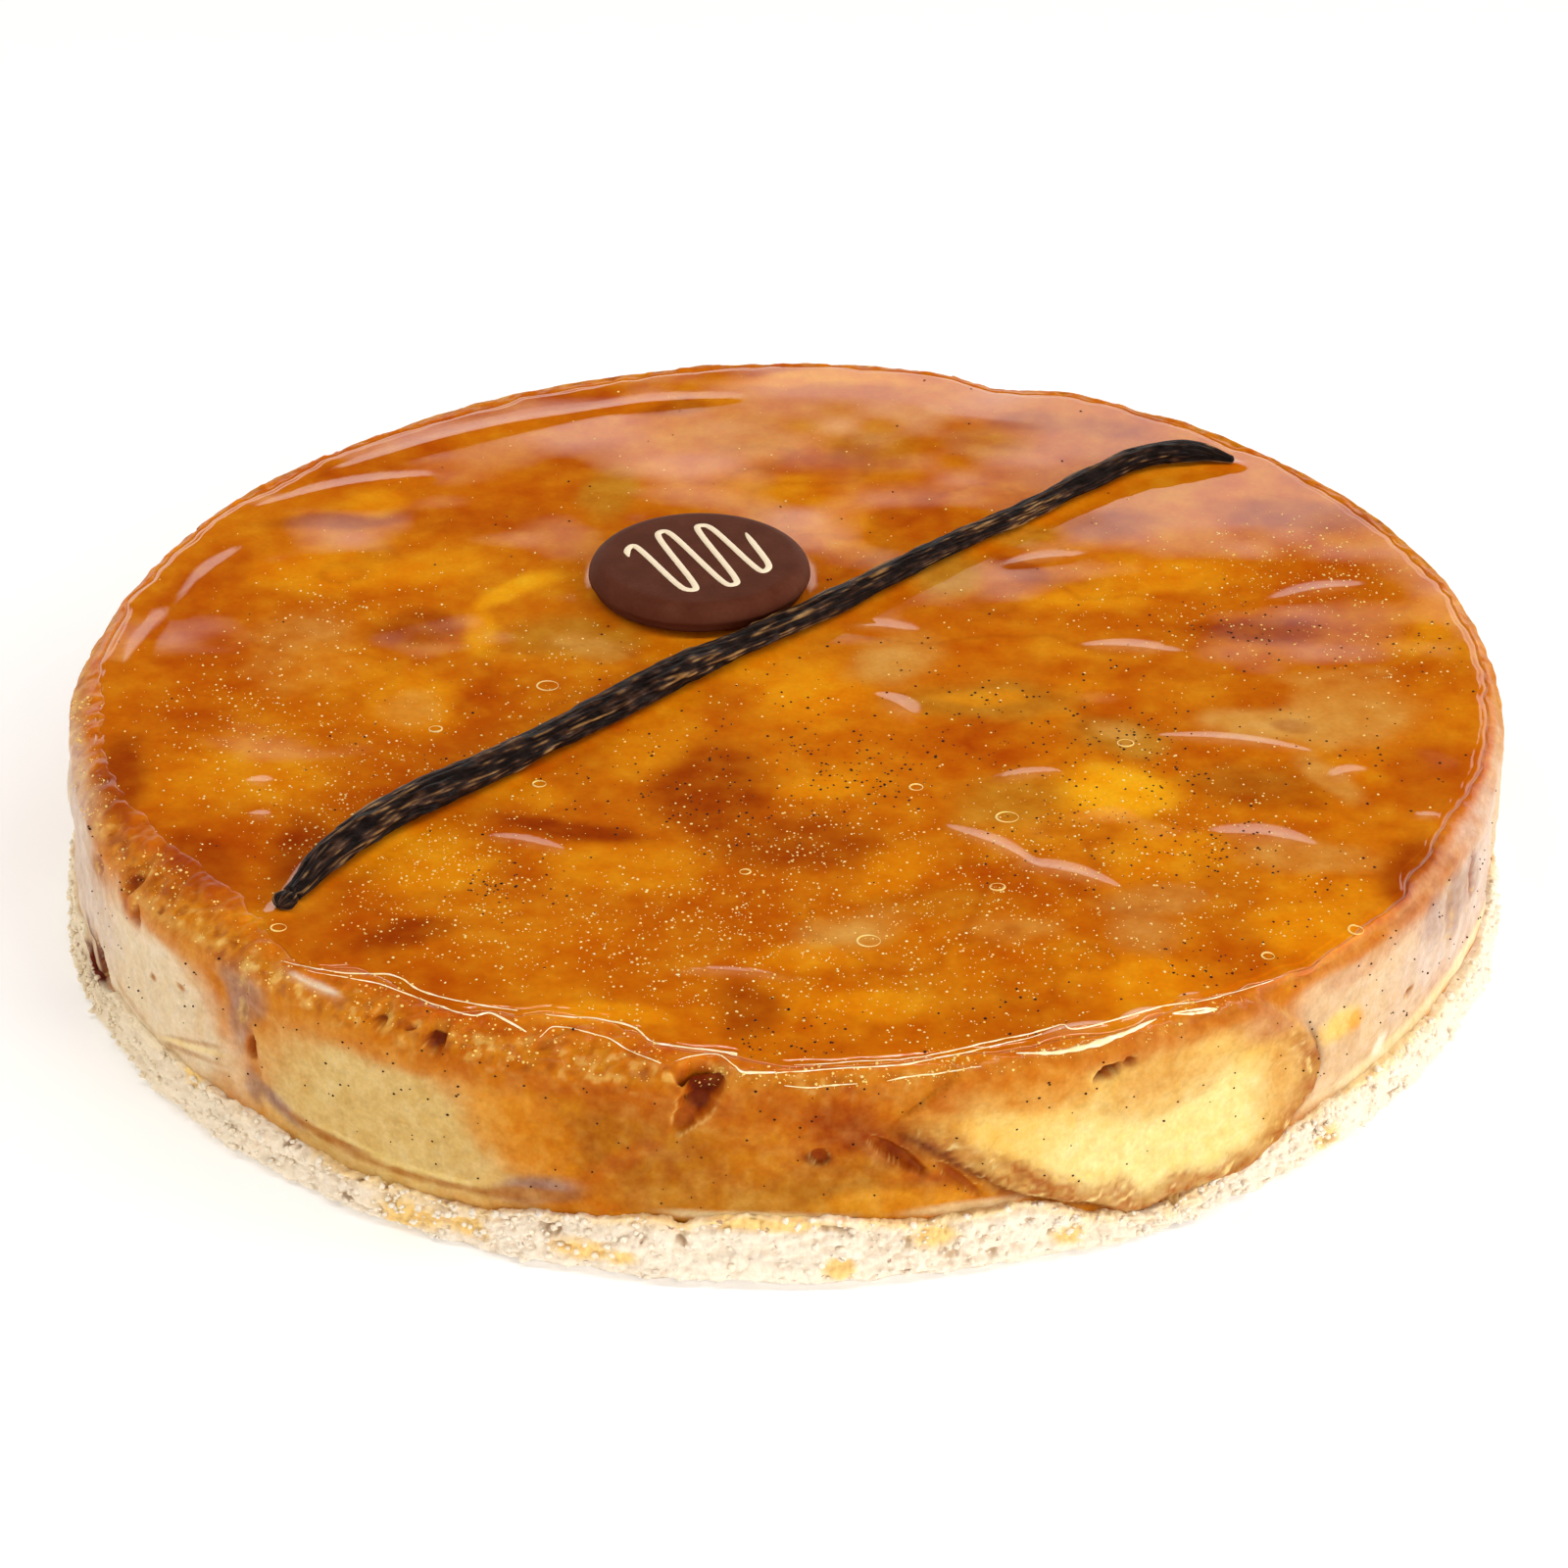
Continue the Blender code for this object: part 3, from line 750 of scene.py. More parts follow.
def big_slice_inside(angle, height):
    """Distance inside the edge of the large slice in mm, below zero outside it."""
    line = smooth_route(BIG_SLICE_EDGE, 8)
    across = arc_length(angle, BIG_SLICE_MIDDLE) / MM
    line_across = arc_length(line[:, 0], BIG_SLICE_MIDDLE) / MM
    up = height / MM
    near = np.full(len(angle), 99.0)
    for x, y in zip(line_across, line[:, 1]):
        near = np.minimum(near, np.hypot(across - x, up - y))
    lowest = line[:, 1].argmin()
    left = np.interp(up, line[: lowest + 1, 1][::-1], line_across[: lowest + 1][::-1])
    right_side = line[lowest + 6 :]
    right = np.interp(up, right_side[:, 1], line_across[lowest + 6 :])
    left = np.where(up > line[0, 1], line_across[0] + (up - line[0, 1]) * 1.2, left)
    within = (across > left) & (across < right) & (up > line[lowest, 1])
    return np.where(within, near, -near)


def seen_height(height, radius):
    """Height in mm at which the camera sees a point, if the side of the tart were a plain drum."""
    return (height + VIEW_SLANT * (TART_RADIUS - radius)) / MM


def pit_depth(angle, seen, points):
    """Depth of the torn pits and holes in mm."""
    depth = np.zeros(len(angle))
    bend = 0.34 * rough(points, 0.0020, 72, 3)
    for middle, up, half_width, half_height, turn, cut in PITS:
        dx = arc_length(angle, middle) / MM
        weight = patch_weight(dx, seen - up, half_width, half_height, turn, bend, 0.75)
        depth = np.maximum(depth, cut * weight)
    return depth


def side_radius(angle, height):
    """Radius of the fruit at each point of the side."""
    spots = side_points(angle, height)
    around = spots / TART_RADIUS
    around[:, 2] = height * 25.0
    lumps = [0.0006 * noise.noise(spot * 6.0) + 0.00025 * noise.noise(spot * 19.0) for spot in around]
    radius = TART_RADIUS - 0.0002 + np.array(lumps)
    for middle, half_width, outward in SIDE_LEANS:
        lean = outward * bell(angle_gap(angle, middle), half_width)
        radius += lean * ease(height / TART_HEIGHT, 0.35, 0.90)
    for middle, level, half_width, half_height, tilt, proud in SIDE_SLICES:
        edge_at = slice_edge(angle, height, middle, level, half_width, half_height, tilt)
        edge_at = edge_at + 0.04 * wobble(spots, 0.006, 2)
        inside = np.clip((1.0 - edge_at) / 0.16, 0.0, 1.0)
        radius += proud * inside * (2.0 - inside) - 0.4 * proud * bell(edge_at - 1.0, 0.05)
    inside = big_slice_inside(angle, height) + 0.25 * wobble(spots, 0.003, 33)
    merge = 5.0 * ease(height / MM, 16, 24) * ease(-arc_length(angle, 300) / MM, 0, 14)
    radius += BIG_SLICE_PROUD * ease(inside, -0.4, 1.1 + merge) * (1.0 - 0.35 * ease(inside, 1.5, 8.0))
    wrinkled = bell(inside - 2.0, 1.8) * (inside > -0.4)
    radius += 0.00050 * wrinkled * rough(spots * (1, 1, 1.4), 0.0020, 34)
    radius += 0.00007 * ease(inside, 1.0, 4.0) * wobble(spots * (0.6, 0.6, 1.8), 0.0016, 36)
    folds = rough(spots * (1, 1, 2.2), 0.0055, 4)
    fine = 0.00008 * rough(spots, 0.0016, 14) + 0.00016 * folds
    above = height - (level_height(around[:, :2] * TART_RADIUS) - 0.0035)
    fine += 0.00025 * ease(above, 0.0, 0.003) * rough(spots * (1, 1, 2.0), 0.0026, 24)
    return radius + fine - pit_depth(angle, height / MM, spots) * MM


print("fruit radius at the front:", side_radius(np.array([270.0, 296.0]), np.array([0.02, 0.015])).round(4))

# %% [markdown]
# What the eye reads as apple is mostly colour: soft pale middles of slices, amber where the syrup
# soaked in, and dark seams of burnt sugar between them. A real cook lays slices by hand, so the
# patches are listed one by one, as soft ellipses of a few named tones. Their outlines are bent by
# a wobble, or they would look like stickers.

# %% Tones and patches of the top
TONES = {
    "sun": (0.90, 0.43, 0.012),
    "honey": (0.78, 0.30, 0.006),
    "amber": (0.62, 0.19, 0.004),
    "caramel": (0.50, 0.115, 0.002),
    "burnt": (0.29, 0.040, 0.001),
    "olive": (0.53, 0.225, 0.018),
    "syrup": (0.43, 0.130, 0.002),
    "pale": (0.68, 0.34, 0.075),
    # Pale pink: a painted reflection of the bright tent in the glaze
    "painted_reflection": (0.66, 0.33, 0.15),
    "straw": (0.69, 0.455, 0.155),
    "beige": (0.80, 0.62, 0.40),
    "blush": (0.70, 0.53, 0.42),
    "peach": (0.71, 0.47, 0.26),
    "custard": (0.90, 0.74, 0.42),
    "butter": (0.90, 0.58, 0.15),
    "skin": (0.42, 0.150, 0.024),
    "plum": (0.33, 0.17, 0.12),
    "copper": (0.55, 0.21, 0.075),
    # Deep red near black: burnt caramel, and painted shade in pits, crevices and gaps
    "char_and_shade": (0.13, 0.012, 0.001),
    "rust": (0.38, 0.070, 0.003),
    # Pale gold flesh, also laid in thin lines as painted glints on skin
    "gold": (0.93, 0.72, 0.28),
    # Near white: pale foam, and painted highlights
    "foam_and_glint": (0.90, 0.80, 0.62),
}
# Tone, x, y, half length, half width, turn in degrees, strength; lengths in mm
TOP_PATCHES = (
    ("caramel", -60, -20, 44, 60, 0, 0.25),
    ("caramel", -25, -48, 56, 34, 0, 0.45),
    ("honey", -52, -8, 9, 10, 0, 0.75),
    ("pale", -53, -9, 5, 6, 0, 0.45),
    ("caramel", -43, -9, 4, 10, 10, 0.8),
    ("caramel", -82, -12, 8, 4, 20, 0.9),
    ("burnt", -91, -28, 5, 12, 10, 0.75),
    ("honey", -72, -28, 13, 9, 0, 0.6),
    ("burnt", -64, -47, 4, 11, 0, 0.55),
    ("caramel", -76, -51, 8, 12, 20, 1.0),
    ("burnt", -77, -50, 5, 9, 20, 0.5),
    ("honey", -48, -49, 10, 9, 0, 0.8),
    ("caramel", -35, -55, 5, 6, 0, 0.85),
    ("honey", -22, -51, 12, 9, 0, 0.55),
    ("burnt", -28, -41, 11, 3, -14, 0.8),
    ("burnt", -9, -30, 9, 12, 0, 0.75),
    ("honey", -17, -16, 7, 12, -20, 0.6),
    ("honey", -34, -31, 7, 6, 30, 0.6),
    ("burnt", -51, -67, 10, 3.5, 10, 0.75),
    ("caramel", -60, -66, 10, 6, 20, 0.9),
    ("amber", -42, -61, 9, 3, 0, 0.7),
    ("amber", -30, -71, 13, 9, 0, 0.6),
    ("caramel", -5, -63, 9, 5, 0, 0.5),
    ("burnt", -5, -84, 5, 8, 0, 0.6),
    ("honey", -23, -86, 10, 2.5, -5, 0.9),
    ("caramel", -52, -76, 13, 5, -35, 0.7),
    ("burnt", 2, -44, 12, 8, 0, 0.6),
    ("honey", 5, -4, 9, 11, 0, 0.85),
    ("sun", 3, -2, 5, 6, 0, 0.35),
    ("pale", 14, 4, 6, 5, 0, 0.7),
    ("olive", 29, -6, 13, 6, 0, 0.85),
    ("honey", 29, -5, 7, 2.5, -8, 0.6),
    ("caramel", 28, -15, 11, 5, 0, 0.55),
    ("olive", 46, -16, 7, 5, 0, 0.9),
    ("pale", 46, -15, 3.5, 3, 0, 0.6),
    ("pale", 66, -13, 10, 4.5, -8, 0.9),
    ("burnt", 70, -14, 3, 1.8, -10, 0.9),
    ("pale", 79, -11, 12, 9, 20, 0.75),
    ("amber", 55, -4, 9, 6, 0, 0.6),
    ("caramel", 88, 3, 8, 6, 0, 0.5),
    ("sun", 45, -31, 9, 8, 0, 1.0),
    ("sun", 46, -29, 5, 5, 0, 0.6),
    ("caramel", 28, -22, 8, 3, 10, 0.8),
    ("honey", 7, -29, 8, 3, 12, 0.7),
    ("olive", 31, -33, 9, 8, 0, 0.75),
    ("burnt", 64, -30, 10, 7, -10, 0.55),
    ("olive", 62, -27, 9, 5, 0, 0.4),
    ("pale", 74, -27, 3, 8, 20, 0.7),
    ("caramel", 89, -29, 7, 12, 0, 0.8),
    ("honey", 52, -48, 9, 9, 0, 0.7),
    ("pale", 69, -49, 9, 5, -10, 0.6),
    ("burnt", 83, -51, 5, 9, -25, 0.75),
    ("honey", 70, -58, 8, 5, 20, 0.5),
    ("honey", 14, -51, 8, 5, 50, 0.6),
    ("caramel", 31, -54, 10, 6, -20, 0.6),
    ("olive", 20, -60, 12, 5, 0, 0.35),
    ("pale", 8, -67, 9, 5, 30, 0.75),
    ("honey", 2, -72, 9, 4, 0, 0.8),
    ("pale", 30, -67, 7, 5, 0, 0.4),
    ("pale", 48, -59, 7, 4, 0, 0.55),
    ("pale", 47, -68, 4, 6, 0, 0.5),
    ("honey", 46, -79, 7, 6, 0, 0.85),
    ("honey", 66, -66, 8, 6, 20, 0.85),
    ("caramel", 57, -70, 5, 8, 0, 0.6),
    ("honey", 12, -84, 11, 5, 0, 0.75),
    ("caramel", 30, -84, 9, 8, 0, 0.45),
    ("honey", -66, 33, 14, 7, 0, 0.8),
    ("honey", -50, 34, 9, 6, 0, 0.7),
    ("sun", -38, 27, 9, 2.6, 45, 0.8),
    ("sun", -43, 13, 2.8, 9, 5, 0.65),
    ("olive", -31, 11, 10, 7, 0, 0.85),
    ("pale", -28, 9, 6, 4, -15, 0.6),
    ("burnt", -53, 15, 7, 7, 0, 0.6),
    ("pale", -68, 9, 9, 12, 0, 0.45),
    ("honey", -64, 4, 9, 9, 0, 0.4),
    ("caramel", -85, 28, 6, 14, -15, 0.8),
    ("burnt", -66, 49, 13, 3, 10, 0.65),
    ("honey", -60, 55, 6, 4, 0, 0.8),
    ("caramel", -43, 48, 14, 6, -5, 0.85),
    ("olive", -26, 57, 5, 9, 0, 0.8),
    ("caramel", -31, 70, 6, 6, 0, 0.8),
    ("caramel", -58, 68, 16, 5, 38, 0.8),
    ("caramel", -48, 82, 28, 4, 30, 0.7),
    ("amber", -10, 93, 12, 5, 0, 0.5),
    ("burnt", -18, 87, 6, 2.5, 10, 0.6),
    ("pale", -8, 77, 13, 9, 0, 0.35),
    ("honey", -5, 60, 12, 6, 0, 0.4),
    ("honey", 5, 96, 20, 3, 0, 0.8),
    ("pale", 14, 82, 16, 7, 0, 0.35),
    ("olive", 14, 72, 8, 8, 0, 0.5),
    ("caramel", 5, 67, 11, 4, 0, 0.6),
    ("honey", 9, 47, 7, 9, 0, 0.7),
    ("caramel", 20, 54, 5, 9, 0, 0.6),
    ("caramel", 35, 66, 7, 5, 0, 0.6),
    ("burnt", 37, 82, 7, 4, 0, 0.5),
    ("burnt", 50, 80, 9, 3, -15, 0.35),
    ("olive", 30, 74, 8, 6, 0, 0.5),
    ("burnt", 48, 47, 11, 5, 0, 0.55),
    ("burnt", 76, 49, 14, 6, -10, 0.5),
    ("olive", 34, 44, 6, 4, 30, 0.7),
    ("olive", 24, 31, 5, 7, 0, 0.9),
    ("burnt", 34, 33, 7, 3, -30, 0.5),
    ("honey", 56, 32, 13, 6, 0, 0.8),
    ("honey", 43, 24, 11, 5, 0, 0.75),
    ("sun", 42, 24, 5, 2.5, 0, 0.35),
    ("burnt", 67, 15, 13, 4, 0, 0.65),
    ("caramel", 82, 12, 9, 7, 0, 0.5),
    ("caramel", 84, 31, 6, 10, 0, 0.6),
    ("honey", 94, 18, 3, 9, 0, 0.7),
    ("pale", 16, 7, 7, 8, 0, 0.5),
    ("honey", -2, 4, 7, 7, 0, 0.6),
    ("caramel", 46, 3, 18, 4, 0, 0.5),
    ("pale", 78, 0, 9, 4, 0, 0.35),
    ("honey", 90, 9, 5, 3, 0, 0.5),
)


def mix(colours, tone, weight):
    """Blends a named tone into the colours, by a weight for each point."""
    return colours + (np.array(TONES[tone]) - colours) * weight[:, None]


def top_colours(flat):
    """Colour of the apple under the glaze at each point of the top, with a painted pink reflection on the
    first humps.
    """
    level = np.column_stack([flat, np.zeros(len(flat))])
    shift = np.column_stack([rough(level, 0.016, 11), rough(level, 0.016, 21)]) * 3.4
    seen = seen_flat(flat)
    drawn = seen / MM + shift
    base = np.tile(TONES["amber"], (len(flat), 1))
    base = mix(base, "caramel", ease(rough(level, 0.022, 31), -0.1, 0.6) * 0.8)
    base = mix(base, "honey", ease(rough(level, 0.018, 41), 0.0, 0.6) * 0.45)
    bend = 0.20 * rough(level, 0.006, 51)
    for tone, x, y, half_length, half_width, turn, strength in TOP_PATCHES:
        weight = patch_weight(drawn[:, 0] - x, drawn[:, 1] - y, half_length, half_width, turn, bend)
        base = mix(base, tone, weight * strength)
    veins = bell(rough(level, 0.016, 61), 0.05) * ease(wobble(level, 0.030, 71), -0.2, 0.5)
    base = mix(base, "burnt", veins * 0.20)
    # Pale pink over the first humps: a painted reflection of the tent in their slopes
    for x, y, half_length, half_width, turn, rise in HUMPS[:REFLECTION_SLIVER_COUNT]:
        base = mix(base, "painted_reflection", 0.35 * hump_shape(seen, x, y, half_length, half_width * 1.1, turn))
    syrup = 1.13 + 0.22 * rough(level, 0.010, 101, 3) + 0.08 * rough(level, 0.0025, 105, 2)
    return np.clip(base, 0.0, 1.0) ** syrup[:, None]


print("patches on the top:", len(TOP_PATCHES))

# %% [markdown]
# The side is read the same way, by angle and height. Here the flesh is drier and paler than under
# the glaze. The slices that face the viewer each have their own colour, a rim of golden, torn
# fibres runs along the top, browned skin follows the edge of the big slice, and the pits go dark
# red towards their bottom, as burnt colour and painted shade.

# %% Colours of the side
SIDE_SHADE = 0.86
# Tone, angle, height in mm, half width in degrees, half height in mm, turn, strength
SIDE_PATCHES = (
    ("straw", 238, 10, 15, 6, 0, 0.9),
    ("beige", 206, 12, 22, 9, 0, 1.0),
    ("blush", 190, 20, 15, 13, 0, 1.0),
    ("blush", 194, 26, 10, 6, 0, 1.0),
    ("beige", 213, 16.5, 11, 10.5, 0, 1.0),
    ("blush", 201, 14, 8, 8, 20, 0.6),
    ("amber", 243, 30.5, 20, 3.2, 0, 0.95),
    ("amber", 217, 30.5, 9, 3.0, 0, 0.95),
    ("skin", 203, 23.8, 2.6, 2.6, 32, 0.6),
    ("caramel", 210.5, 26.4, 2.8, 4.0, -30, 0.95),
    ("amber", 214.5, 26.6, 7, 2.2, -4, 0.75),
    ("butter", 217, 28.4, 7, 1.0, 6, 0.4),
    ("honey", 219, 31.0, 5, 2.0, 0, 0.6),
    ("skin", 217.7, 19.3, 0.7, 0.6, 0, 0.9),
    ("skin", 213.8, 17.0, 0.6, 0.6, 0, 0.9),
    ("straw", 239, 17.0, 12.5, 10.0, 0, 1.0),
    ("straw", 244, 13, 9, 7, 0, 0.9),
    ("amber", 243, 26.4, 12, 2.6, 2, 0.85),
    ("plum", 225.8, 26.0, 3.0, 4.8, -30, 0.75),
    ("plum", 225.0, 20.0, 1.5, 5, 6, 0.65),
    ("plum", 226.4, 11.5, 1.4, 3.5, 0, 0.65),
    ("caramel", 226.4, 17.2, 0.9, 2.4, 0, 0.9),
    ("skin", 219, 11.6, 5, 0.5, 22, 0.55),
    ("skin", 218.5, 9.4, 5, 0.5, 16, 0.55),
    # Painted glint on the curled skin
    ("gold", 218.5, 10.5, 5, 0.6, 19, 0.6),
    ("skin", 209, 8.6, 5, 0.6, -8, 0.4),
    ("foam_and_glint", 188, 24, 5, 7, 0, 0.35),
    # Painted shade in the dark crevice beside the gap
    ("char_and_shade", 199.8, 7.4, 3.2, 1.7, -38, 1.0),
    ("skin", 203.6, 6.2, 3.0, 0.9, -20, 0.8),
    ("honey", 251.0, 19, 5.5, 6.5, -35, 0.7),
    ("syrup", 259.5, 20.0, 7.5, 10.0, -10, 0.95),
    ("syrup", 272, 19, 11, 12, 0, 0.95),
    ("caramel", 266, 26, 14, 4, 0, 0.7),
    ("amber", 251, 18.5, 4.5, 7.5, -30, 0.6),
    ("caramel", 280, 13.5, 3.5, 2.6, 0, 0.7),
    ("burnt", 280, 13.2, 2.6, 2.2, 0, 0.45),
    ("caramel", 249, 27.5, 8, 3.4, 0, 0.7),
    ("caramel", 258, 27.5, 4, 2.4, 0, 0.5),
    # A pale pink sliver on the rim is a painted reflection, with a painted highlight inside it
    ("painted_reflection", 231.8, 31.3, 3.9, 1.0, -4, 1.0),
    ("foam_and_glint", 232.2, 31.6, 3.0, 0.5, -4, 0.7),
    ("plum", 229.5, 10.4, 3.6, 1.7, -20, 0.95),
    ("skin", 234.0, 9.2, 4.8, 1.1, -6, 0.95),
    # Painted glint on the curled skin
    ("gold", 236.0, 9.8, 4.0, 0.5, -4, 0.5),
    ("skin", 243, 8.2, 8, 0.6, 2, 0.75),
    # Painted glint on the curled skin
    ("gold", 244, 9.2, 7, 0.5, 2, 0.5),
    ("plum", 252.0, 10.6, 4.0, 2.2, 14, 0.95),
    ("skin", 251.0, 9.6, 5.0, 1.2, 8, 0.9),
    ("caramel", 258.0, 16.5, 4.5, 1.6, 38, 0.6),
    ("olive", 262, 11.6, 7, 2.6, 0, 0.5),
    ("olive", 274, 12.2, 8, 3.4, 0, 0.55),
    ("honey", 278, 11.6, 6, 2.4, 0, 0.6),
    ("custard", 283, 9.6, 5, 0.9, 0, 0.6),
    ("custard", 268, 9.8, 7, 0.8, 0, 0.8),
    ("caramel", 273.5, 24, 5, 6.5, 0, 0.9),
    ("burnt", 274.5, 23.0, 3.4, 4, -20, 0.6),
    ("burnt", 277, 20.0, 4, 2.4, -30, 0.7),
    # Painted shade in a pit
    ("char_and_shade", 272.6, 18.8, 1.1, 1.3, 0, 0.8),
    ("amber", 268, 20, 3.5, 6, 0, 0.6),
    ("amber", 283, 27, 7, 3, 10, 0.7),
    ("peach", 321, 14, 14, 9, 0, 1.0),
    ("peach", 319, 18, 9, 12, 0, 1.0),
    ("blush", 333, 20, 11, 12, 0, 1.0),
    ("blush", 344, 20, 12, 13, 0, 1.0),
    ("peach", 318, 24, 8, 4.4, 0, 0.9),
    ("amber", 318, 29.0, 6, 2.2, 0, 0.8),
    ("copper", 329, 28.6, 8, 3.0, 0, 1.0),
    ("copper", 319, 25.6, 5, 2.2, 0, 0.45),
    ("butter", 316.2, 18.6, 2.6, 2.6, 0, 0.9),
    ("honey", 318.2, 17.8, 1.1, 1.8, 0, 0.8),
    ("plum", 329, 24.0, 2.4, 5.0, 8, 0.55),
    ("plum", 333, 22.5, 2.2, 6.5, 6, 0.55),
    ("plum", 336.5, 22.5, 2.0, 6.0, 6, 0.5),
    ("custard", 325, 8.8, 12, 1.3, 0, 0.8),
    ("custard", 338, 9.2, 10, 1.8, 0, 0.9),
    ("foam_and_glint", 321.8, 10.4, 1.0, 2.0, 0, 1.0),
    ("beige", 352, 15, 6, 8, 0, 0.6),
    ("plum", 350.5, 8, 2.2, 3, -30, 0.8),
    ("skin", 325.4, 15.6, 0.7, 0.7, 0, 0.9),
    ("straw", 4, 16, 11, 10, 0, 0.9),
    ("beige", 31, 18, 11, 11, 0, 0.9),
    ("butter", 58, 18, 12, 9, 0, 0.95),
    ("straw", 84, 16, 10, 10, 0, 0.8),
    ("pale", 97, 20, 5, 8, 0, 0.7),
    ("butter", 111, 17, 13, 9, 0, 0.7),
    ("straw", 139, 17, 11, 11, 0, 0.9),
    ("beige", 163, 17, 9, 10, 0, 0.9),
    ("amber", 30, 30, 25, 2.8, 0, 0.9),
    ("amber", 85, 30, 25, 2.8, 0, 0.9),
    ("caramel", 150, 29, 25, 3, 0, 0.7),
    ("plum", 45, 22, 2.2, 7, 0, 0.6),
    ("plum", 97, 22, 2.2, 7, 0, 0.6),
    ("plum", 152, 22, 2.2, 7, 0, 0.6),
)


def rim_colours(base, angle, seen, over, points, bend):
    """Lays golden and burnt fibres over the torn rim; over is the height above the fruit's level."""
    fibre = rough(points, 0.0013, 62, 2)
    # The pale sliver at 233 degrees is a painted reflection, so no fibres are laid over it
    reflection_patch = patch_weight(arc_length(angle, 232.8) / MM, seen - 31.5, 5.4, 1.0, -7, bend * 0.5)
    rim = ease(over, -0.0050, -0.0020) * follow(RIM_TORN, angle, 1) * (1.0 - reflection_patch)
    base = mix(base, "amber", rim * 0.6)
    base = mix(base, "burnt", rim * ease(fibre, 0.05, 0.40) * 0.6)
    return mix(base, "butter", rim * ease(-fibre, 0.20, 0.45) * 0.55)


def flesh_of_big_slice(base, angle, height, seen, points, bend, inside):
    """Colours the large slice: golden below, amber above, with a bruise under its top edge."""

    def at(middle):
        return arc_length(angle, middle) / MM

    merge = 6.0 * ease(height / MM, 15, 24) * ease(-at(300), 0, 14)
    body = ease(inside, 0.0, 1.0 + merge)
    base = mix(base, "butter", body)
    lower = ease(21.5 - seen + 3 * rough(points, 0.010, 44), -2, 6)
    base = mix(base, "gold", body * lower * ease(at(290), -8, 4))
    base = mix(base, "honey", body * bell(at(278), 7.0))
    base = mix(base, "pale", body * ease(at(307), -4, 4) * 0.85)
    base = mix(base, "amber", body * ease(seen, 24.5, 29.0) * 0.9)
    base = mix(base, "caramel", body * bell(at(280), 8.0) * ease(seen, 21, 25) * 0.9)
    bruise = patch_weight(at(298.0), seen - 23.0, 12.5, 6.0, 4, bend * 1.5, 1.0)
    base = mix(base, "pale", body * bruise * 0.8)
    base = mix(base, "skin", body * bell(bruise - 0.35, 0.20) * ease(25 - seen, 0, 4) * 0.22)
    base = mix(base, "caramel", patch_weight(at(299), seen - 29.2, 25.0, 3.4, 0, bend) * 0.6)
    base = mix(base, "amber", patch_weight(at(288), seen - 25.5, 9.0, 3.6, -8, bend) * 0.75)
    return mix(base, "copper", body * patch_weight(at(309), seen - 25.5, 8.0, 3.6, 0, bend) * 0.8)


def skin_of_big_slice(base, height, points, inside):
    """Browns the wrinkled skin along the edge of the large slice, with burnt creases, painted golden glints,
    and a dark line along its lower edge that is partly burnt and partly painted shade.
    """
    grained = points * (1, 1, 1.6)
    browning = inside + 1.0 * wobble(points, 0.005, 46)
    brown = ease(browning, -0.2, 0.5) * (1.0 - ease(browning, 2.2, 5.6)) * ease(26 - height / MM, 0, 9)
    base = mix(base, "skin", brown * (0.72 + 0.38 * rough(grained, 0.0020, 45)))
    # Painted glints: gold on the skin where a fine noise is high
    base = mix(base, "gold", ease(rough(grained, 0.0013, 48, 2), 0.30, 0.50) * brown * 0.8)
    base = mix(base, "rust", bell(rough(grained, 0.0026, 47), 0.12) * brown * 0.7)
    # Dark line at the foot of the slice's proud edge: burnt skin and painted shade
    return mix(base, "char_and_shade", bell(inside + 0.2, 0.9) * ease(24 - height / MM, 0, 4) * 0.75)


def pit_colours(base, depth, points):
    """Pale torn flaps at the mouth of a pit, then rust and dark red deeper in, burnt colour and painted
    shade that are darkest at its bottom.
    """
    flap = bell(depth - 0.20, 0.14) * ease(rough(points, 0.0016, 115), -0.2, 0.3)
    base = mix(base, "butter", flap * 0.5)
    base = mix(base, "rust", ease(depth, 0.25, 1.0) * 0.85)
    return mix(base, "char_and_shade", ease(depth, 1.1, 2.2) * 0.9)


def side_colours(angle, height, radius, level, depth):
    """Colour of the fruit on the side and its torn rim; depth is that of the pits in mm."""
    points = np.column_stack([directions(angle) * radius[:, None], height])
    seen = seen_height(height, radius)
    base = np.tile(TONES["amber"], (len(angle), 1))
    base = mix(base, "pale", ease(rough(points, 0.016, 12), -0.2, 0.6) * 0.6)
    bend = 0.20 * rough(points, 0.0045, 52)
    slide = 1.2 * rough(points, 0.008, 22)
    for tone, middle, up, half_width, half_height, turn, strength in SIDE_PATCHES:
        dx = arc_length(angle, middle) / MM + slide
        half_arc = math.radians(half_width) * TART_RADIUS / MM
        weight = patch_weight(dx, seen - up, half_arc, half_height, turn, bend)
        base = mix(base, tone, weight * strength)
    base = rim_colours(base, angle, seen, height - level, points, bend)
    inside = big_slice_inside(angle, height) + 0.6 * wobble(points, 0.004, 43)
    base = flesh_of_big_slice(base, angle, height, seen, points, bend, inside)
    base = skin_of_big_slice(base, height, points, inside)
    # Painted shade of fine wrinkles: a tenth darker along thin lines of a stretched noise
    wrinkle_shade = ease(np.abs(rough(points * (1, 1, 1.6), 0.0034, 32)), 0.0, 0.10)
    base = base * (0.90 + 0.10 * wrinkle_shade)[:, None]
    base = pit_colours(base, depth, points)
    grain = 1.0 + 0.16 * rough(points * (1, 1, 0.7), 0.0030, 111, 4)
    return np.clip(base * SIDE_SHADE, 0.0, 1.0) ** grain[:, None]


print("patches on the side:", len(SIDE_PATCHES))

# %% [markdown]
# Effects that several materials share are built once as node groups. The first breaks a colour up
# with soft mottling and fine grain. The mottling is a gamma, because syrup that lies thicker is
# not only darker but also redder. The second gives the height of a fine, irregular surface,
# which feeds a Bump node. Groups give out only colours and values; each shader stays outside.

# %% Shared shader groups


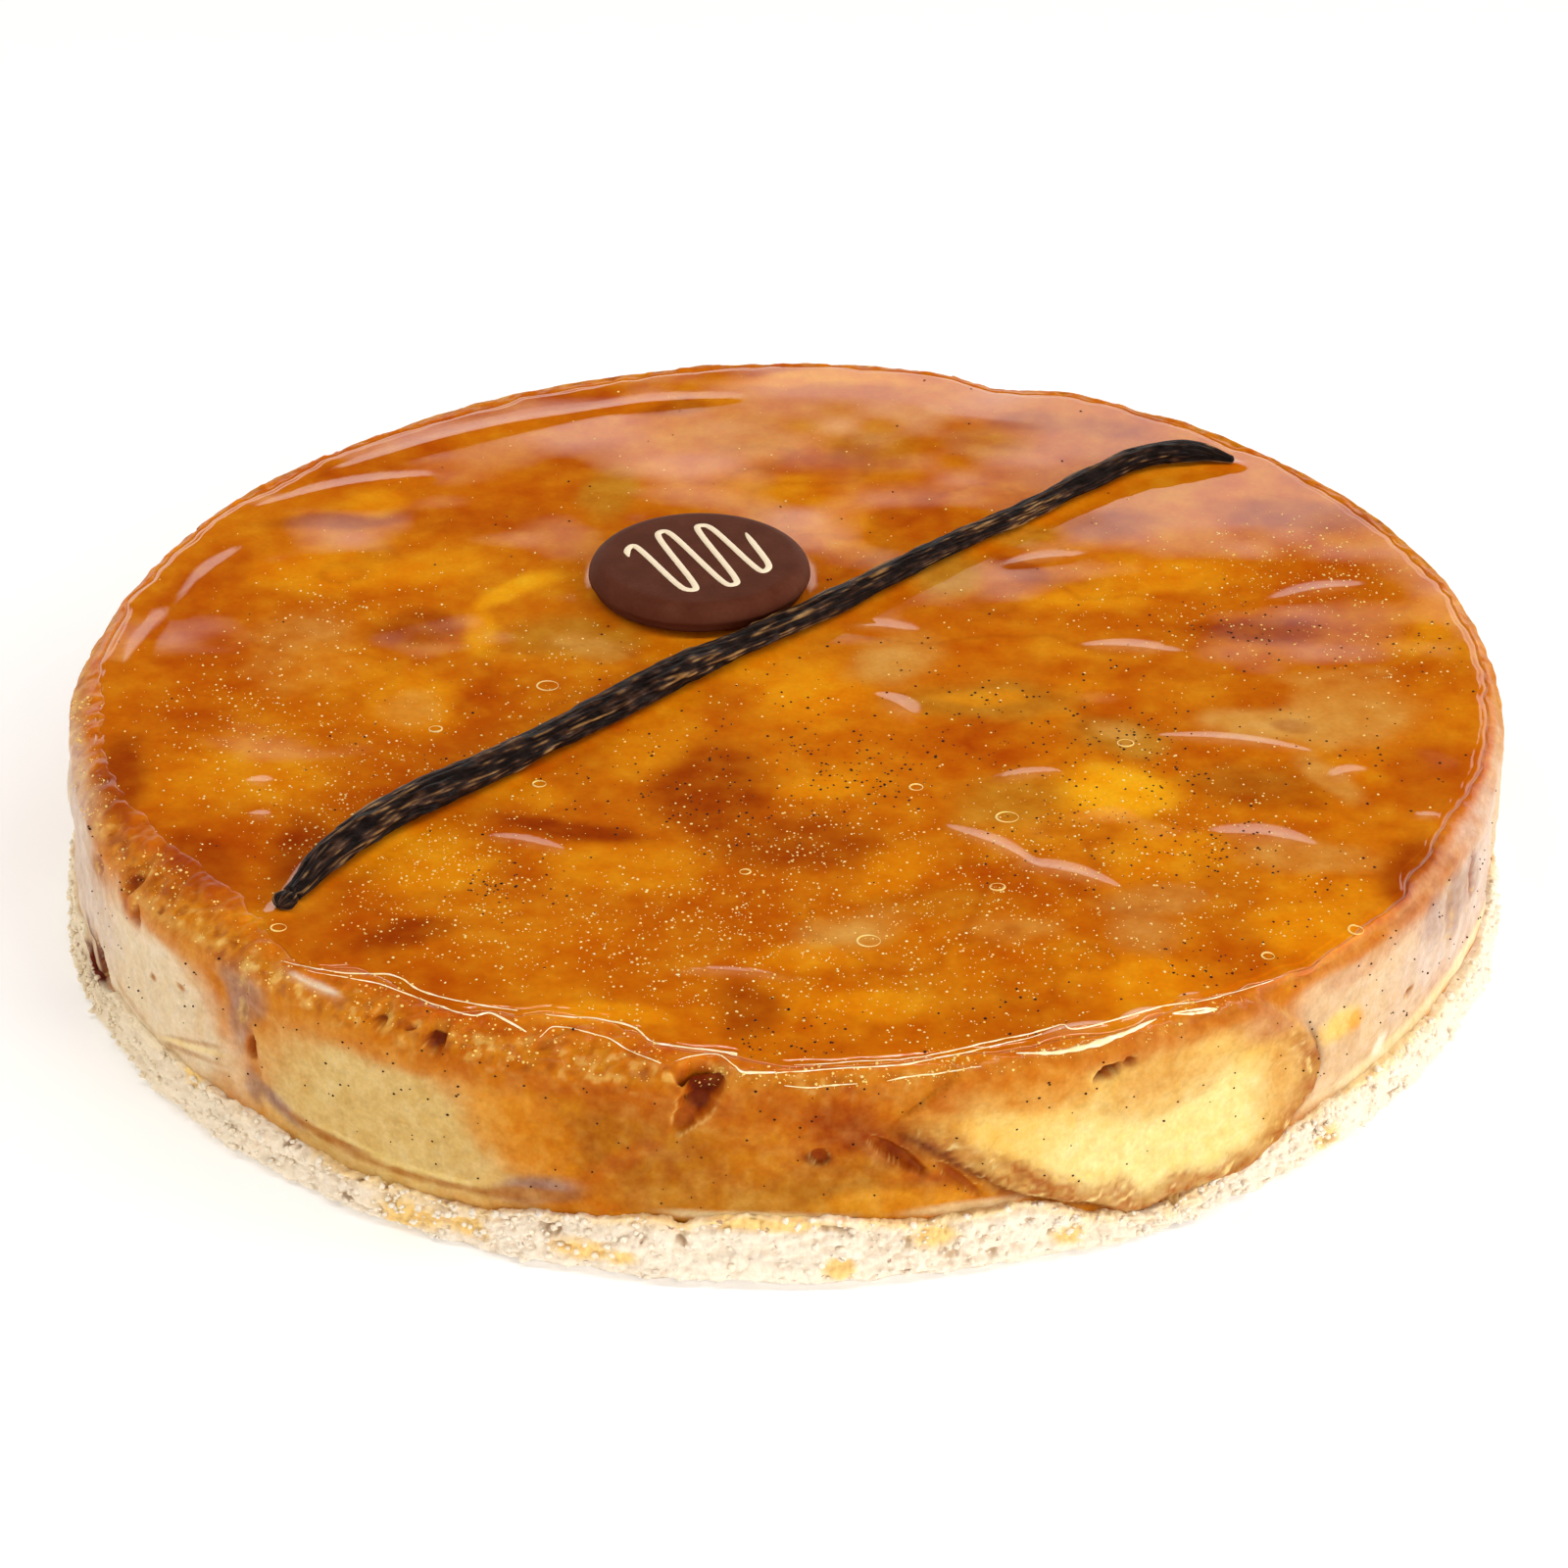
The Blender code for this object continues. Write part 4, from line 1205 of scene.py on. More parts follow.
def new_group(name, inputs, outputs):
    """An empty node group with named sockets: inputs and outputs are (name, kind, value)."""
    group = bpy.data.node_groups.new(name, "ShaderNodeTree")
    for label, kind, value in inputs:
        made = group.interface.new_socket(label, in_out="INPUT", socket_type=kind)
        if value is not None:
            made.default_value = value
    for label, kind in outputs:
        group.interface.new_socket(label, in_out="OUTPUT", socket_type=kind)
    return group, group.nodes.new("NodeGroupInput"), group.nodes.new("NodeGroupOutput")


def math_node(tree, operation, first, second):
    """A Math node; each operand is a socket or a number."""
    node = tree.nodes.new("ShaderNodeMath")
    node.operation = operation
    for socket, value in zip(node.inputs, (first, second)):
        if isinstance(value, (int, float)):
            socket.default_value = value
        else:
            tree.links.new(value, socket)
    return node.outputs["Value"]


def noise_node(tree, vector, scale, detail=3.0, roughness=0.5):
    """A Noise texture; the scale is a socket or a number of features for each metre."""
    node = tree.nodes.new("ShaderNodeTexNoise")
    node.inputs["Detail"].default_value = detail
    node.inputs["Roughness"].default_value = roughness
    tree.links.new(vector, node.inputs["Vector"])
    if isinstance(scale, (int, float)):
        node.inputs["Scale"].default_value = scale
    else:
        tree.links.new(scale, node.inputs["Scale"])
    return node.outputs["Fac"]


def make_mottle():
    """Colour in, colour out: broad soft changes of depth and a finer grain of brightness."""
    group, given, result = new_group(
        "mottle",
        (
            ("Color", "NodeSocketColor", None),
            ("Broad Scale", "NodeSocketFloat", 150.0),
            ("Broad Amount", "NodeSocketFloat", 0.2),
            ("Grain Scale", "NodeSocketFloat", 1200.0),
            ("Grain Amount", "NodeSocketFloat", 0.1),
        ),
        (("Color", "NodeSocketColor"),),
    )
    place = group.nodes.new("ShaderNodeTexCoord").outputs["Object"]
    broad = math_node(group, "SUBTRACT", noise_node(group, place, given.outputs["Broad Scale"]), 0.5)
    grain = math_node(group, "SUBTRACT", noise_node(group, place, given.outputs["Grain Scale"], 2.0), 0.5)
    depth = math_node(group, "ADD", math_node(group, "MULTIPLY", broad, given.outputs["Broad Amount"]), 1.0)
    speck = math_node(group, "MULTIPLY", grain, given.outputs["Grain Amount"])
    factor = math_node(group, "ADD", speck, 1.0)
    deepened = group.nodes.new("ShaderNodeGamma")
    group.links.new(given.outputs["Color"], deepened.inputs["Color"])
    group.links.new(depth, deepened.inputs["Gamma"])
    scaled = group.nodes.new("ShaderNodeVectorMath")
    scaled.operation = "SCALE"
    group.links.new(deepened.outputs["Color"], scaled.inputs[0])
    group.links.new(factor, scaled.inputs["Scale"])
    group.links.new(scaled.outputs["Vector"], result.inputs["Color"])
    return group


def make_fine_relief():
    """Height of a fine surface: stretched fibres and an even grain, each with its own amount."""
    group, given, result = new_group(
        "fine_relief",
        (
            ("Fibre Scale", "NodeSocketFloat", 300.0),
            ("Fibre Amount", "NodeSocketFloat", 1.0),
            ("Grain Scale", "NodeSocketFloat", 1500.0),
            ("Grain Amount", "NodeSocketFloat", 0.5),
        ),
        (("Height", "NodeSocketFloat"),),
    )
    place = group.nodes.new("ShaderNodeTexCoord").outputs["Object"]
    stretch = group.nodes.new("ShaderNodeMapping")
    stretch.inputs["Scale"].default_value = (1.0, 1.0, 0.22)
    group.links.new(place, stretch.inputs["Vector"])
    fibre = noise_node(group, stretch.outputs["Vector"], given.outputs["Fibre Scale"], 4.0, 0.6)
    grain = noise_node(group, place, given.outputs["Grain Scale"], 2.0)
    fibres = math_node(group, "MULTIPLY", fibre, given.outputs["Fibre Amount"])
    grains = math_node(group, "MULTIPLY", grain, given.outputs["Grain Amount"])
    group.links.new(math_node(group, "ADD", fibres, grains), result.inputs["Height"])
    return group


MOTTLE = make_mottle()
FINE_RELIEF = make_fine_relief()
print("groups:", MOTTLE.name, FINE_RELIEF.name)


def new_material(name, **values):
    """A material with its shader's plain values set: keywords are socket names with underscores."""
    made = bpy.data.materials.new(name)
    made.use_nodes = True
    shader = made.node_tree.nodes["Principled BSDF"]
    for key, value in values.items():
        shader.inputs[key.replace("_", " ")].default_value = value
    return made, made.node_tree, shader


def add_group(tree, group, **values):
    """Places a node group in a material with this material's own values."""
    node = tree.nodes.new("ShaderNodeGroup")
    node.node_tree = group
    for key, value in values.items():
        node.inputs[key.replace("_", " ")].default_value = value
    return node


def read_attribute(tree, name):
    """A node that reads what was stored for each point of the mesh."""
    node = tree.nodes.new("ShaderNodeAttribute")
    node.attribute_name = name
    return node


def paint(tree, shader, source, broad, grain):
    """Mottles a colour, given plain or as a socket; broad and grain are each a scale and an amount."""
    mottle = add_group(
        tree,
        MOTTLE,
        Broad_Scale=broad[0],
        Broad_Amount=broad[1],
        Grain_Scale=grain[0],
        Grain_Amount=grain[1],
    )
    if isinstance(source, tuple):
        mottle.inputs["Color"].default_value = (*source, 1.0)
    else:
        tree.links.new(source, mottle.inputs["Color"])
    tree.links.new(mottle.outputs["Color"], shader.inputs["Base Color"])


def roughen(tree, shader, fibre, grain, strength, distance):
    """Adds the fine relief as bump; fibre and grain are each a scale and an amount."""
    relief = add_group(
        tree,
        FINE_RELIEF,
        Fibre_Scale=fibre[0],
        Fibre_Amount=fibre[1],
        Grain_Scale=grain[0],
        Grain_Amount=grain[1],
    )
    bump = tree.nodes.new("ShaderNodeBump")
    bump.inputs["Strength"].default_value = strength
    bump.inputs["Distance"].default_value = distance
    tree.links.new(relief.outputs["Height"], bump.inputs["Height"])
    tree.links.new(bump.outputs["Normal"], shader.inputs["Normal"])


# %% [markdown]
# Glazed apple is translucent flesh under a clear wet skin. Light that enters it spreads a few
# millimetres, which is subsurface scattering, red furthest. The skin is the shader's coat: full
# and mirror smooth on the glaze, thin and satin on the side, where the flesh is only damp.

# %% Apple and glaze materials
glaze_finish, tree, shader = new_material(
    "clear_glaze",
    Roughness=0.6,
    Specular_IOR_Level=0.0,
    Subsurface_Weight=0.25,
    Subsurface_Radius=(1.0, 0.45, 0.12),
    Subsurface_Scale=0.0022,
    Coat_Weight=1.0,
    Coat_Roughness=0.02,
    Coat_IOR=1.47,
)
paint(tree, shader, read_attribute(tree, "flesh").outputs["Color"], (260.0, 0.6), (1400.0, 0.25))

flesh_finish, tree, shader = new_material(
    "apple_flesh",
    Roughness=0.55,
    Specular_IOR_Level=0.05,
    Subsurface_Weight=0.25,
    Subsurface_Radius=(1.0, 0.45, 0.12),
    Subsurface_Scale=0.0018,
    Coat_Roughness=0.14,
    Coat_IOR=1.45,
)
paint(tree, shader, read_attribute(tree, "flesh").outputs["Color"], (520.0, 0.7), (1900.0, 0.3))
tree.links.new(read_attribute(tree, "wet").outputs["Fac"], shader.inputs["Coat Weight"])
roughen(tree, shader, (420.0, 1.0), (1700.0, 0.4), strength=0.5, distance=0.0005)
print("materials:", glaze_finish.name, flesh_finish.name)

# %% [markdown]
# The apple is one closed drum: rings up the side, over the rim and in under the glaze. Its foot
# reaches a little into the crust, as juice and crumb have baked together there. Pits are coloured
# by the same depth that cuts them into the side, with painted shade, so their bottoms are always the
# darkest.

# %% Build the apple drum
DRUM_STEPS = 1340
SIDE_LEVELS = 52
FRONT_GAIN = 0.36
RIM_ROUNDING = 0.0013
FOOT_DEPTH = 0.0008
UNDER_GLAZE = 0.0022
EDGE_SINK = 0.00006
COVER_STARTS = (176, 184)
COVER_ENDS = (222, 229)
COVER_REACH = 0.0013
COVER_RISE = 0.00016
RIM_RINGS = 18


def stack(rings):
    """Joins rings of points and gives the place in the list at which each ring starts."""
    starts = np.cumsum([0] + [len(ring) for ring in rings[:-1]])
    return np.vstack(rings), list(zip(starts.tolist(), [len(ring) for ring in rings]))


def close_rings(places):
    """Faces over a stack of rings: bands between them, and one face over each end."""
    faces = []
    for (first, steps), (second, next_steps) in zip(places, places[1:]):
        join = band if steps == next_steps else halving_band
        faces += join(first, second, steps)
    faces.append(list(range(places[0][1]))[::-1])
    last, count = places[-1]
    faces.append(list(range(last, last + count)))
    return faces


def compass(steps):
    """Angles in degrees and unit directions once round the tart, closer together at the front."""
    part = np.arange(steps) / steps * 2 - 1
    angles = (270.0 + 180.0 * (part - FRONT_GAIN / math.pi * np.sin(math.pi * part))) % 360.0
    return angles, directions(angles)


angles, outward = compass(DRUM_STEPS)
level = level_height(outward * TART_RADIUS)
rim_fall = follow(GLAZE_EDGE, angles, 2) * MM
rim_height = level - rim_fall + 0.0003 * rough(side_points(angles, angles * 0), 0.004, 81)
low = ledge_height(angles) - FOOT_DEPTH
low += 0.0004 * rough(side_points(angles, angles * 0), 0.003, 82)
drum_rings, drum_colours, drum_wet = [], [], []


def add_drum_ring(radius, height, wet, depth, under=0.0):
    """One ring of the drum; under says how far its colour is already that of the glazed top."""
    ring = np.column_stack([outward * radius[:, None], height])
    side = side_colours(angles, height, radius, level, depth)
    glazed = np.clip(top_colours(ring[:, :2]), 0.0, 1.0)
    drum_rings.append(ring)
    drum_colours.append(side + (glazed - side) * ease(under, 0.15, 0.75))
    drum_wet.append(wet)


for share in np.linspace(0.0, 1.0, SIDE_LEVELS):
    height = low + (rim_height - low) * share
    over = np.clip(1.0 - (rim_height - height) / RIM_ROUNDING, 0.0, 1.0)
    radius = side_radius(angles, height) - RIM_ROUNDING * 0.6 * (1 - np.sqrt(1 - over**2 * 0.97))
    spots = side_points(angles, height)
    damp = 0.03 + 0.14 * ease(rough(spots, 0.006, 13), -0.1, 0.5)
    add_drum_ring(radius, height, damp, pit_depth(angles, height / MM, spots))
outer_radius, outer_height = radius, height
torn = follow(RIM_TORN, angles, 1)
# At the left the torn fruit lies a little way over the edge of the glaze and hides it
cover = ease(angles, *COVER_STARTS) * (1.0 - ease(angles, *COVER_ENDS))
foot_points = side_points(angles, angles * 0)
meet_radius = glaze_reach(angles) - COVER_REACH * cover * (1.0 + 0.5 * rough(foot_points, 0.003, 84))
meet_height = glaze_height(outward * meet_radius[:, None]) - EDGE_SINK
meet_height += cover * (COVER_RISE + 0.00025 * rough(foot_points, 0.0016, 86))
for share in np.linspace(0.0, 1.0, RIM_RINGS + 1)[1:]:
    radius = outer_radius + (meet_radius - outer_radius) * share
    rise = np.sin(share * math.pi / 2) ** 0.8
    height = outer_height + (meet_height - outer_height) * rise
    spots = np.column_stack([outward * radius[:, None], height])
    fibres = rough(spots, 0.0018, 83) * torn
    height = height + 0.0007 * fibres * math.sin(share * math.pi)
    depth = pit_depth(angles, seen_height(height, radius), side_points(angles, height))
    damp = np.clip(0.3 + 0.6 * share - 0.65 * torn, 0.06, 1.0)
    add_drum_ring(radius, height - depth * MM * (1.0 - share), damp, depth, share)
inner_radius = meet_radius - UNDER_GLAZE
add_drum_ring(inner_radius, meet_height - 0.0014, np.full(DRUM_STEPS, 0.9), np.zeros(DRUM_STEPS), 1.0)
centre = outward[::2] * (inner_radius[::2] - 0.003)[:, None]
drum_rings.append(np.column_stack([centre, np.full(len(centre), TART_HEIGHT - 0.0025)]))
drum_colours.append(np.tile(TONES["amber"], (len(centre), 1)))
drum_wet.append(np.full(len(centre), 0.5))
points, places = stack(drum_rings)
faces = close_rings(places)
drum = make_piece("apple_flesh", points, faces, flesh_finish, ["apple_filling"])
add_colours(drum, "flesh", np.clip(np.vstack(drum_colours), 0.0, 1.0))
add_values(drum, "wet", np.concatenate(drum_wet).astype(np.float32))

# %% [markdown]
# The glaze lies on the drum as a lid with a rounded edge. Its rings lie a sixth of a millimetre
# apart along the edge, where the glaze steps down, and wider further in. The count round each
# ring halves towards the middle, so that faces stay nearly square.

# %% Build the glaze
LID_STEPS = 1080
EDGE_ROUNDING = 0.0008
EDGE_ZONE = 0.0036
angles, outward = compass(LID_STEPS)
reach = glaze_reach(angles)
lid_rings = []
for inset, drop in ((0.0060, 0.0016), (0.0012, 0.0013), (0.0002, 0.0012)):
    flat = outward * (reach - inset)[:, None]
    lid_rings.append(np.column_stack([flat, glaze_height(flat) - drop]))
for turn in np.radians(np.linspace(0, 84, 9)):
    flat = outward * (reach - EDGE_ROUNDING * (1 - math.cos(turn)))[:, None]
    drop = EDGE_ROUNDING * (1 - math.sin(turn))
    lid_rings.append(np.column_stack([flat, glaze_height(flat) - drop]))
for share in np.linspace(0.06, 1.0, 18):
    flat = outward * (reach - EDGE_ROUNDING - (EDGE_ZONE - EDGE_ROUNDING) * share)[:, None]
    lid_rings.append(np.column_stack([flat, glaze_height(flat)]))
# How much coarser than the edge, first and last share of the radius, how many rings
LID_ZONES = ((1, 0.99, 0.58, 42), (2, 0.57, 0.30, 27), (4, 0.288, 0.12, 17), (8, 0.11, 0.02, 6))
for steps, first, last, count in LID_ZONES:
    for share in np.linspace(first, last, count):
        flat = outward[::steps] * ((reach[::steps] - EDGE_ZONE) * share)[:, None]
        lid_rings.append(np.column_stack([flat, glaze_height(flat)]))
points, places = stack(lid_rings)
lid = make_piece("clear_glaze", points, close_rings(places), glaze_finish, ["apple_filling"])
add_colours(lid, "flesh", np.clip(top_colours(points[:, :2]), 0.0, 1.0))

# %% [markdown]
# The shortbread base was pressed into the ring by hand, so its side is all crumbs: lumps of half a
# millimetre to two, gaps between them, and a ragged foot. Distances to random spots give round
# crumbs with creases between them, at two sizes. They are real height, because bump alone would
# leave the outline smooth, and the creases are also darkened with painted shade. The dough is very
# pale, and fruit juice has stained it yellow along its top and in a few spots. At the left it is
# browner and smoother, and a dark gap between crust and fruit is painted there as painted shade.

# %% Shortbread base
CRUST_STEPS = 2200
CRUST_LEVELS = 34
CRUMB_SIZE = 0.0016
FINE_CRUMB_SIZE = 0.0008
CREAM = np.array((0.90, 0.79, 0.645))
TOAST = np.array((0.80, 0.665, 0.475))
# Colour of the painted shade in the creases between crumbs
CREASE_SHADE = np.array((0.58, 0.42, 0.27))
JUICE = np.array((0.90, 0.60, 0.19))
# Angle at which a dark gap between crust and fruit is painted on the crust, as painted shade
DARK_GAP_MIDDLE = 199.6
# Angle, height, half width and half height of the stains, in degrees and mm
JUICE_STAINS = (
    (242, 3.0, 3.0, 2.8),
    (246.6, 3.4, 2.0, 1.6),
    (255.5, 3.6, 2.6, 1.6),
    (258.5, 3.2, 1.4, 1.4),
    (274, 3.0, 1.2, 1.5),
    (269, 9.2, 6.0, 1.1),
    (281, 6.5, 2.0, 2.0),
    (291, 3.2, 1.6, 1.6),
    (314.6, 3.0, 1.8, 2.4),
    (219, 6.5, 1.6, 1.2),
    (35, 3.0, 3.0, 2.0),
    (98, 3.0, 2.4, 2.2),
    (146, 3.5, 3.0, 2.0),
)


def crust_radius(angle, share_up):
    """The solid's own side: ragged in and out, drawn in at its foot."""
    around = np.column_stack([directions(angle), share_up * 0.35])
    crumble = [0.0009 * noise.noise(spot * 9.0) + 0.0007 * noise.noise(spot * 31.0) for spot in around]
    foot = 0.0015 * np.clip(1.0 - share_up / 0.22, 0.0, 1.0) ** 1.5
    return TART_RADIUS + CRUST_OVERHANG * (1.0 - 0.5 * share_up) + np.array(crumble) - foot


def crumb_relief(points):
    """Height of the crumbs in metres: two sizes of lumps, a soft unevenness and torn gaps."""
    lumps = 0.55 - cell_distance(points, CRUMB_SIZE, 1)
    fine = 0.50 - cell_distance(points, FINE_CRUMB_SIZE, 2)
    gaps = ease(rough(points, 0.0030, 7), 0.38, 0.62)
    return 0.00072 * lumps + 0.00050 * fine + 0.00030 * rough(points, 0.0040, 3) - 0.0008 * gaps


TOASTED_MIDDLE = 200
TOASTED_WIDTH = 26


def toasted(angle):
    """1 at the left, where the base is baked darker and its side is pressed smoother, and 0 elsewhere."""
    return bell(angle_gap(angle, TOASTED_MIDDLE), TOASTED_WIDTH)


def dough_colour(angle):
    """Colour of the dry dough at each angle."""
    return CREAM + (TOAST - CREAM) * toasted(angle)[:, None]


def crumb_colours(points, relief, ledge):
    """Pale dough with painted shade in its creases, stained by juice, and painted shade in the dark gap at
    the left.
    """
    # Painted shade: the lower the relief, the darker
    shade = ease(relief, -0.0009, 0.0001)
    angle, _ = polar(points[:, :2])
    shade = shade + (1.0 - shade) * 0.5 * toasted(angle)
    colours = CREASE_SHADE + (dough_colour(angle) - CREASE_SHADE) * shade[:, None]
    dry = np.clip(toasted(angle) + 0.8 * bell(angle_gap(angle, 340), 12), 0.0, 1.0)
    soaked = ease(points[:, 2] - ledge, -0.0020, 0.0002) * ease(rough(points, 0.007, 91), -0.6, 0.2)
    soaked = soaked * 0.7 * (1.0 - 0.9 * dry)
    bend = 0.35 * rough(points, 0.003, 92)
    for middle, up, half_width, half_height in JUICE_STAINS:
        half_arc = math.radians(half_width) * TART_RADIUS / MM
        dx = arc_length(angle, middle) / MM
        weight = patch_weight(dx, points[:, 2] / MM - up, half_arc, half_height, 0, bend)
        soaked = np.maximum(soaked, weight * 0.9)
    colours = colours + (JUICE * (0.6 + 0.4 * shade[:, None]) - colours) * soaked[:, None]
    # Painted shade of the gap, just under the ledge
    beside = np.abs(angle_gap(angle, DARK_GAP_MIDDLE)) + 0.8 * rough(points, 0.0022, 93)
    gap_shade = ease(points[:, 2] - ledge, -0.0014, -0.0004) * (1.0 - ease(beside, 1.8, 2.8))
    return colours + (np.array(TONES["char_and_shade"]) - colours) * gap_shade[:, None]


angles, outward = compass(CRUST_STEPS)
ledge = ledge_height(angles) - LAYER_GAP / 2
crust_rings, crust_colours = [], []


def add_crust_ring(radius, height, strength, lift):
    """A ring of the crust; strength scales its crumbs, and lift says how far they also rise."""
    plain = np.column_stack([outward * radius[:, None], height])
    relief = crumb_relief(plain)
    relief = relief * (1.0 - 0.55 * toasted(angles))
    points = plain + np.column_stack([outward * (relief * strength)[:, None], relief * lift])
    crust_rings.append(points)
    crust_colours.append(crumb_colours(plain, relief, ledge))


for share in np.linspace(0.0, 1.0, CRUST_LEVELS):
    radius = crust_radius(angles, np.full(CRUST_STEPS, share)) - 0.0003
    add_crust_ring(radius, ledge * share, ease(share, 0.0, 0.08), 0.8 * ease(share, 0.7, 1.0))
for inset in (0.0004, 0.0008, 0.0013, 0.0018, 0.0024):
    add_crust_ring(radius - inset, ledge, 0.5, 0.8)
add_crust_ring(radius - 0.0035, ledge - 0.0010, 0.0, 0.0)

crust_finish, tree, shader = new_material(
    "shortbread",
    Roughness=0.9,
    Subsurface_Weight=0.2,
    Subsurface_Radius=(1.0, 0.75, 0.5),
    Subsurface_Scale=0.0010,
    Specular_IOR_Level=0.2,
)
place = tree.nodes.new("ShaderNodeTexCoord").outputs["Object"]


def speckle(tree, colour, scale, low, high, tone):
    """Lays small specks of one tone over a colour, where a fine noise passes its threshold."""
    limit = tree.nodes.new("ShaderNodeMapRange")
    limit.inputs["From Min"].default_value = low
    limit.inputs["From Max"].default_value = high
    tree.links.new(noise_node(tree, place, scale, 2.0), limit.inputs["Value"])
    blend = tree.nodes.new("ShaderNodeMix")
    blend.data_type = "RGBA"
    tree.links.new(limit.outputs["Result"], blend.inputs["Factor"])
    tree.links.new(colour, blend.inputs["A"])
    blend.inputs["B"].default_value = (*tone, 1.0)
    return blend.outputs["Result"]


dough = read_attribute(tree, "dough").outputs["Color"]
specked = speckle(tree, dough, 700.0, 0.70, 0.76, (0.40, 0.25, 0.17))
paint(tree, shader, specked, (260.0, 0.12), (2600.0, 0.12))
roughen(tree, shader, (1600.0, 0.6), (3200.0, 0.6), strength=0.7, distance=0.0004)
points, places = stack(crust_rings)
faces = close_rings(places)
crust = make_piece("shortbread_base", points, faces, crust_finish, ["pastry_base"])
add_colours(crust, "dough", np.clip(np.vstack(crust_colours), 0.0, 1.0))

# %% [markdown]
# Small things that lie about by the hundred, such as crumbs, bubbles and vanilla seeds, are one
# mesh for each kind: one little lump, copied, turned, squashed and placed by arrays.

# %% Scatter small lumps
PHI = (1 + 5**0.5) / 2


def small_lump():
    """A ball of twenty triangles."""
    corners = [(0, a, b * PHI) for a in (-1, 1) for b in (-1, 1)]
    points = np.array([np.roll(corner, k) for k in range(3) for corner in corners]) / math.hypot(1, PHI)
    faces = []
    for a in range(12):
        for b in range(a + 1, 12):
            for c in range(b + 1, 12):
                sides = [np.linalg.norm(points[p] - points[q]) for p, q in ((a, b), (b, c), (a, c))]
                if max(sides) < 1.1:
                    normal = np.cross(points[b] - points[a], points[c] - points[a])
                    faces.append((a, b, c) if normal @ points[a] > 0 else (a, c, b))
    return points, np.array(faces)


def scatter(places, sizes, flatness, jag, rng):
    """Copies of the small lump at the places; jag makes each copy irregular."""
    lump, lump_faces = small_lump()
    count = len(places)
    turn = rng.random(count) * 2 * math.pi
    shape = lump[None] * (1 + jag * (rng.random((count, len(lump), 1)) * 2 - 1))
    x = shape[..., 0] * np.cos(turn)[:, None] - shape[..., 1] * np.sin(turn)[:, None]
    y = shape[..., 0] * np.sin(turn)[:, None] + shape[..., 1] * np.cos(turn)[:, None]
    shape = np.stack([x, y, shape[..., 2] * flatness], axis=2) * sizes[:, None, None]
    points = (shape + places[:, None, :]).reshape(-1, 3)
    faces = (lump_faces[None] + np.arange(count)[:, None, None] * len(lump)).reshape(-1, 3)
    return points, faces.tolist()


rng = np.random.default_rng(31)
CRUMB_COUNT = 2200
angles = rng.random(CRUMB_COUNT) * 360.0
share = rng.random(CRUMB_COUNT) ** 0.8
radius = crust_radius(angles, share) - 0.0002
crumb_places = np.column_stack([
    radius * np.cos(np.radians(angles)),
    radius * np.sin(np.radians(angles)),
    np.maximum(ledge_height(angles) * share, 0.0004),
])
crumb_sizes = 0.00022 + 0.00042 * rng.random(CRUMB_COUNT) ** 2
points, faces = scatter(crumb_places, crumb_sizes, 0.8, 0.35, rng)
crumbs = make_piece("crust_crumbs", points, faces, crust_finish)
add_colours(crumbs, "dough", np.repeat(dough_colour(angles), len(points) // CRUMB_COUNT, axis=0))

# %% [markdown]
# Glaze always holds tiny air bubbles, and the black seeds of the vanilla pod sink into it. The
# bubbles are painted pale gold, a painted highlight for the light they catch. Both gather in
# drifts, so each kind is drawn round a list of centres, with a few strays over the whole top.

# %% Bubbles and vanilla seeds
# Centre x, y, reach in mm, how many
BUBBLE_DRIFTS = (
    (0, 0, 90, 900),
    (-55, -35, 24, 900),
    (-75, -10, 18, 350),
    (-45, -60, 20, 600),
    (-12, -70, 24, 900),
    (20, -78, 26, 650),
    (30, -55, 22, 550),
    (0, -45, 22, 450),
    (55, -35, 22, 350),
    (80, 35, 16, 400),
    (60, 20, 22, 300),
    (85, 5, 12, 150),
    (-30, 0, 25, 300),
    (-65, 20, 18, 200),
    (60, -60, 22, 350),
)
# Large bubbles that broke at the surface and left a ring, painted pale gold as a highlight: x, y, width in
# mm
BUBBLE_RINGS = (
    (11, -69, 3.0),
    (28, -56, 2.0),
    (30, -38, 3.0),
    (47, -18, 2.2),
    (18, -30, 1.8),
    (-33, -2, 3.0),
    (-33, -29, 1.8),
    (-65, -66, 2.0),
    (62, -72, 1.6),
    (74, -65, 2.0),
    (-48, -14, 1.8),
    (-5, -52, 1.4),
)
SEED_DRIFTS = (
    (10, -27, 9, 90),
    (0, -20, 22, 90),
    (30, -12, 20, 110),
    (40, -42, 14, 80),
    (56, -46, 8, 60),
    (52, -28, 8, 40),
    (47, -16, 8, 50),
    (-37, -56, 6, 45),
    (-15, -32, 14, 60),
    (0, -92, 8, 40),
    (28, -88, 12, 30),
    (54, -76, 8, 45),
    (75, -62, 14, 50),
    (80, -20, 20, 60),
    (66, 15, 12, 40),
    (92, 10, 8, 25),
    (-50, -25, 20, 40),
    (0, 0, 92, 160),
)
# Seeds on the side: how many, from which angle and over how many degrees
SIDE_SEEDS = 230
SEEDS_START = 200.0
SEEDS_SPAN = 150.0


def drift(rows, rng):
    """Random places on the top, thicker round the centres, clear of the pod, disc and rim."""
    flat = []
    for x, y, reach, count in rows:
        step = rng.normal(size=(count, 2)) * reach * 0.55
        flat.append((np.array([x, y]) + step) * MM)
    flat = from_seen(np.vstack(flat))
    inside = np.hypot(flat[:, 0], flat[:, 1]) < TART_RADIUS * 0.965
    clear = np.hypot(*(flat - DISC_CENTRE).T) > DISC_RADIUS + 0.0012
    return flat[inside & clear & (distance_to_pod(flat) > 0.0008)]


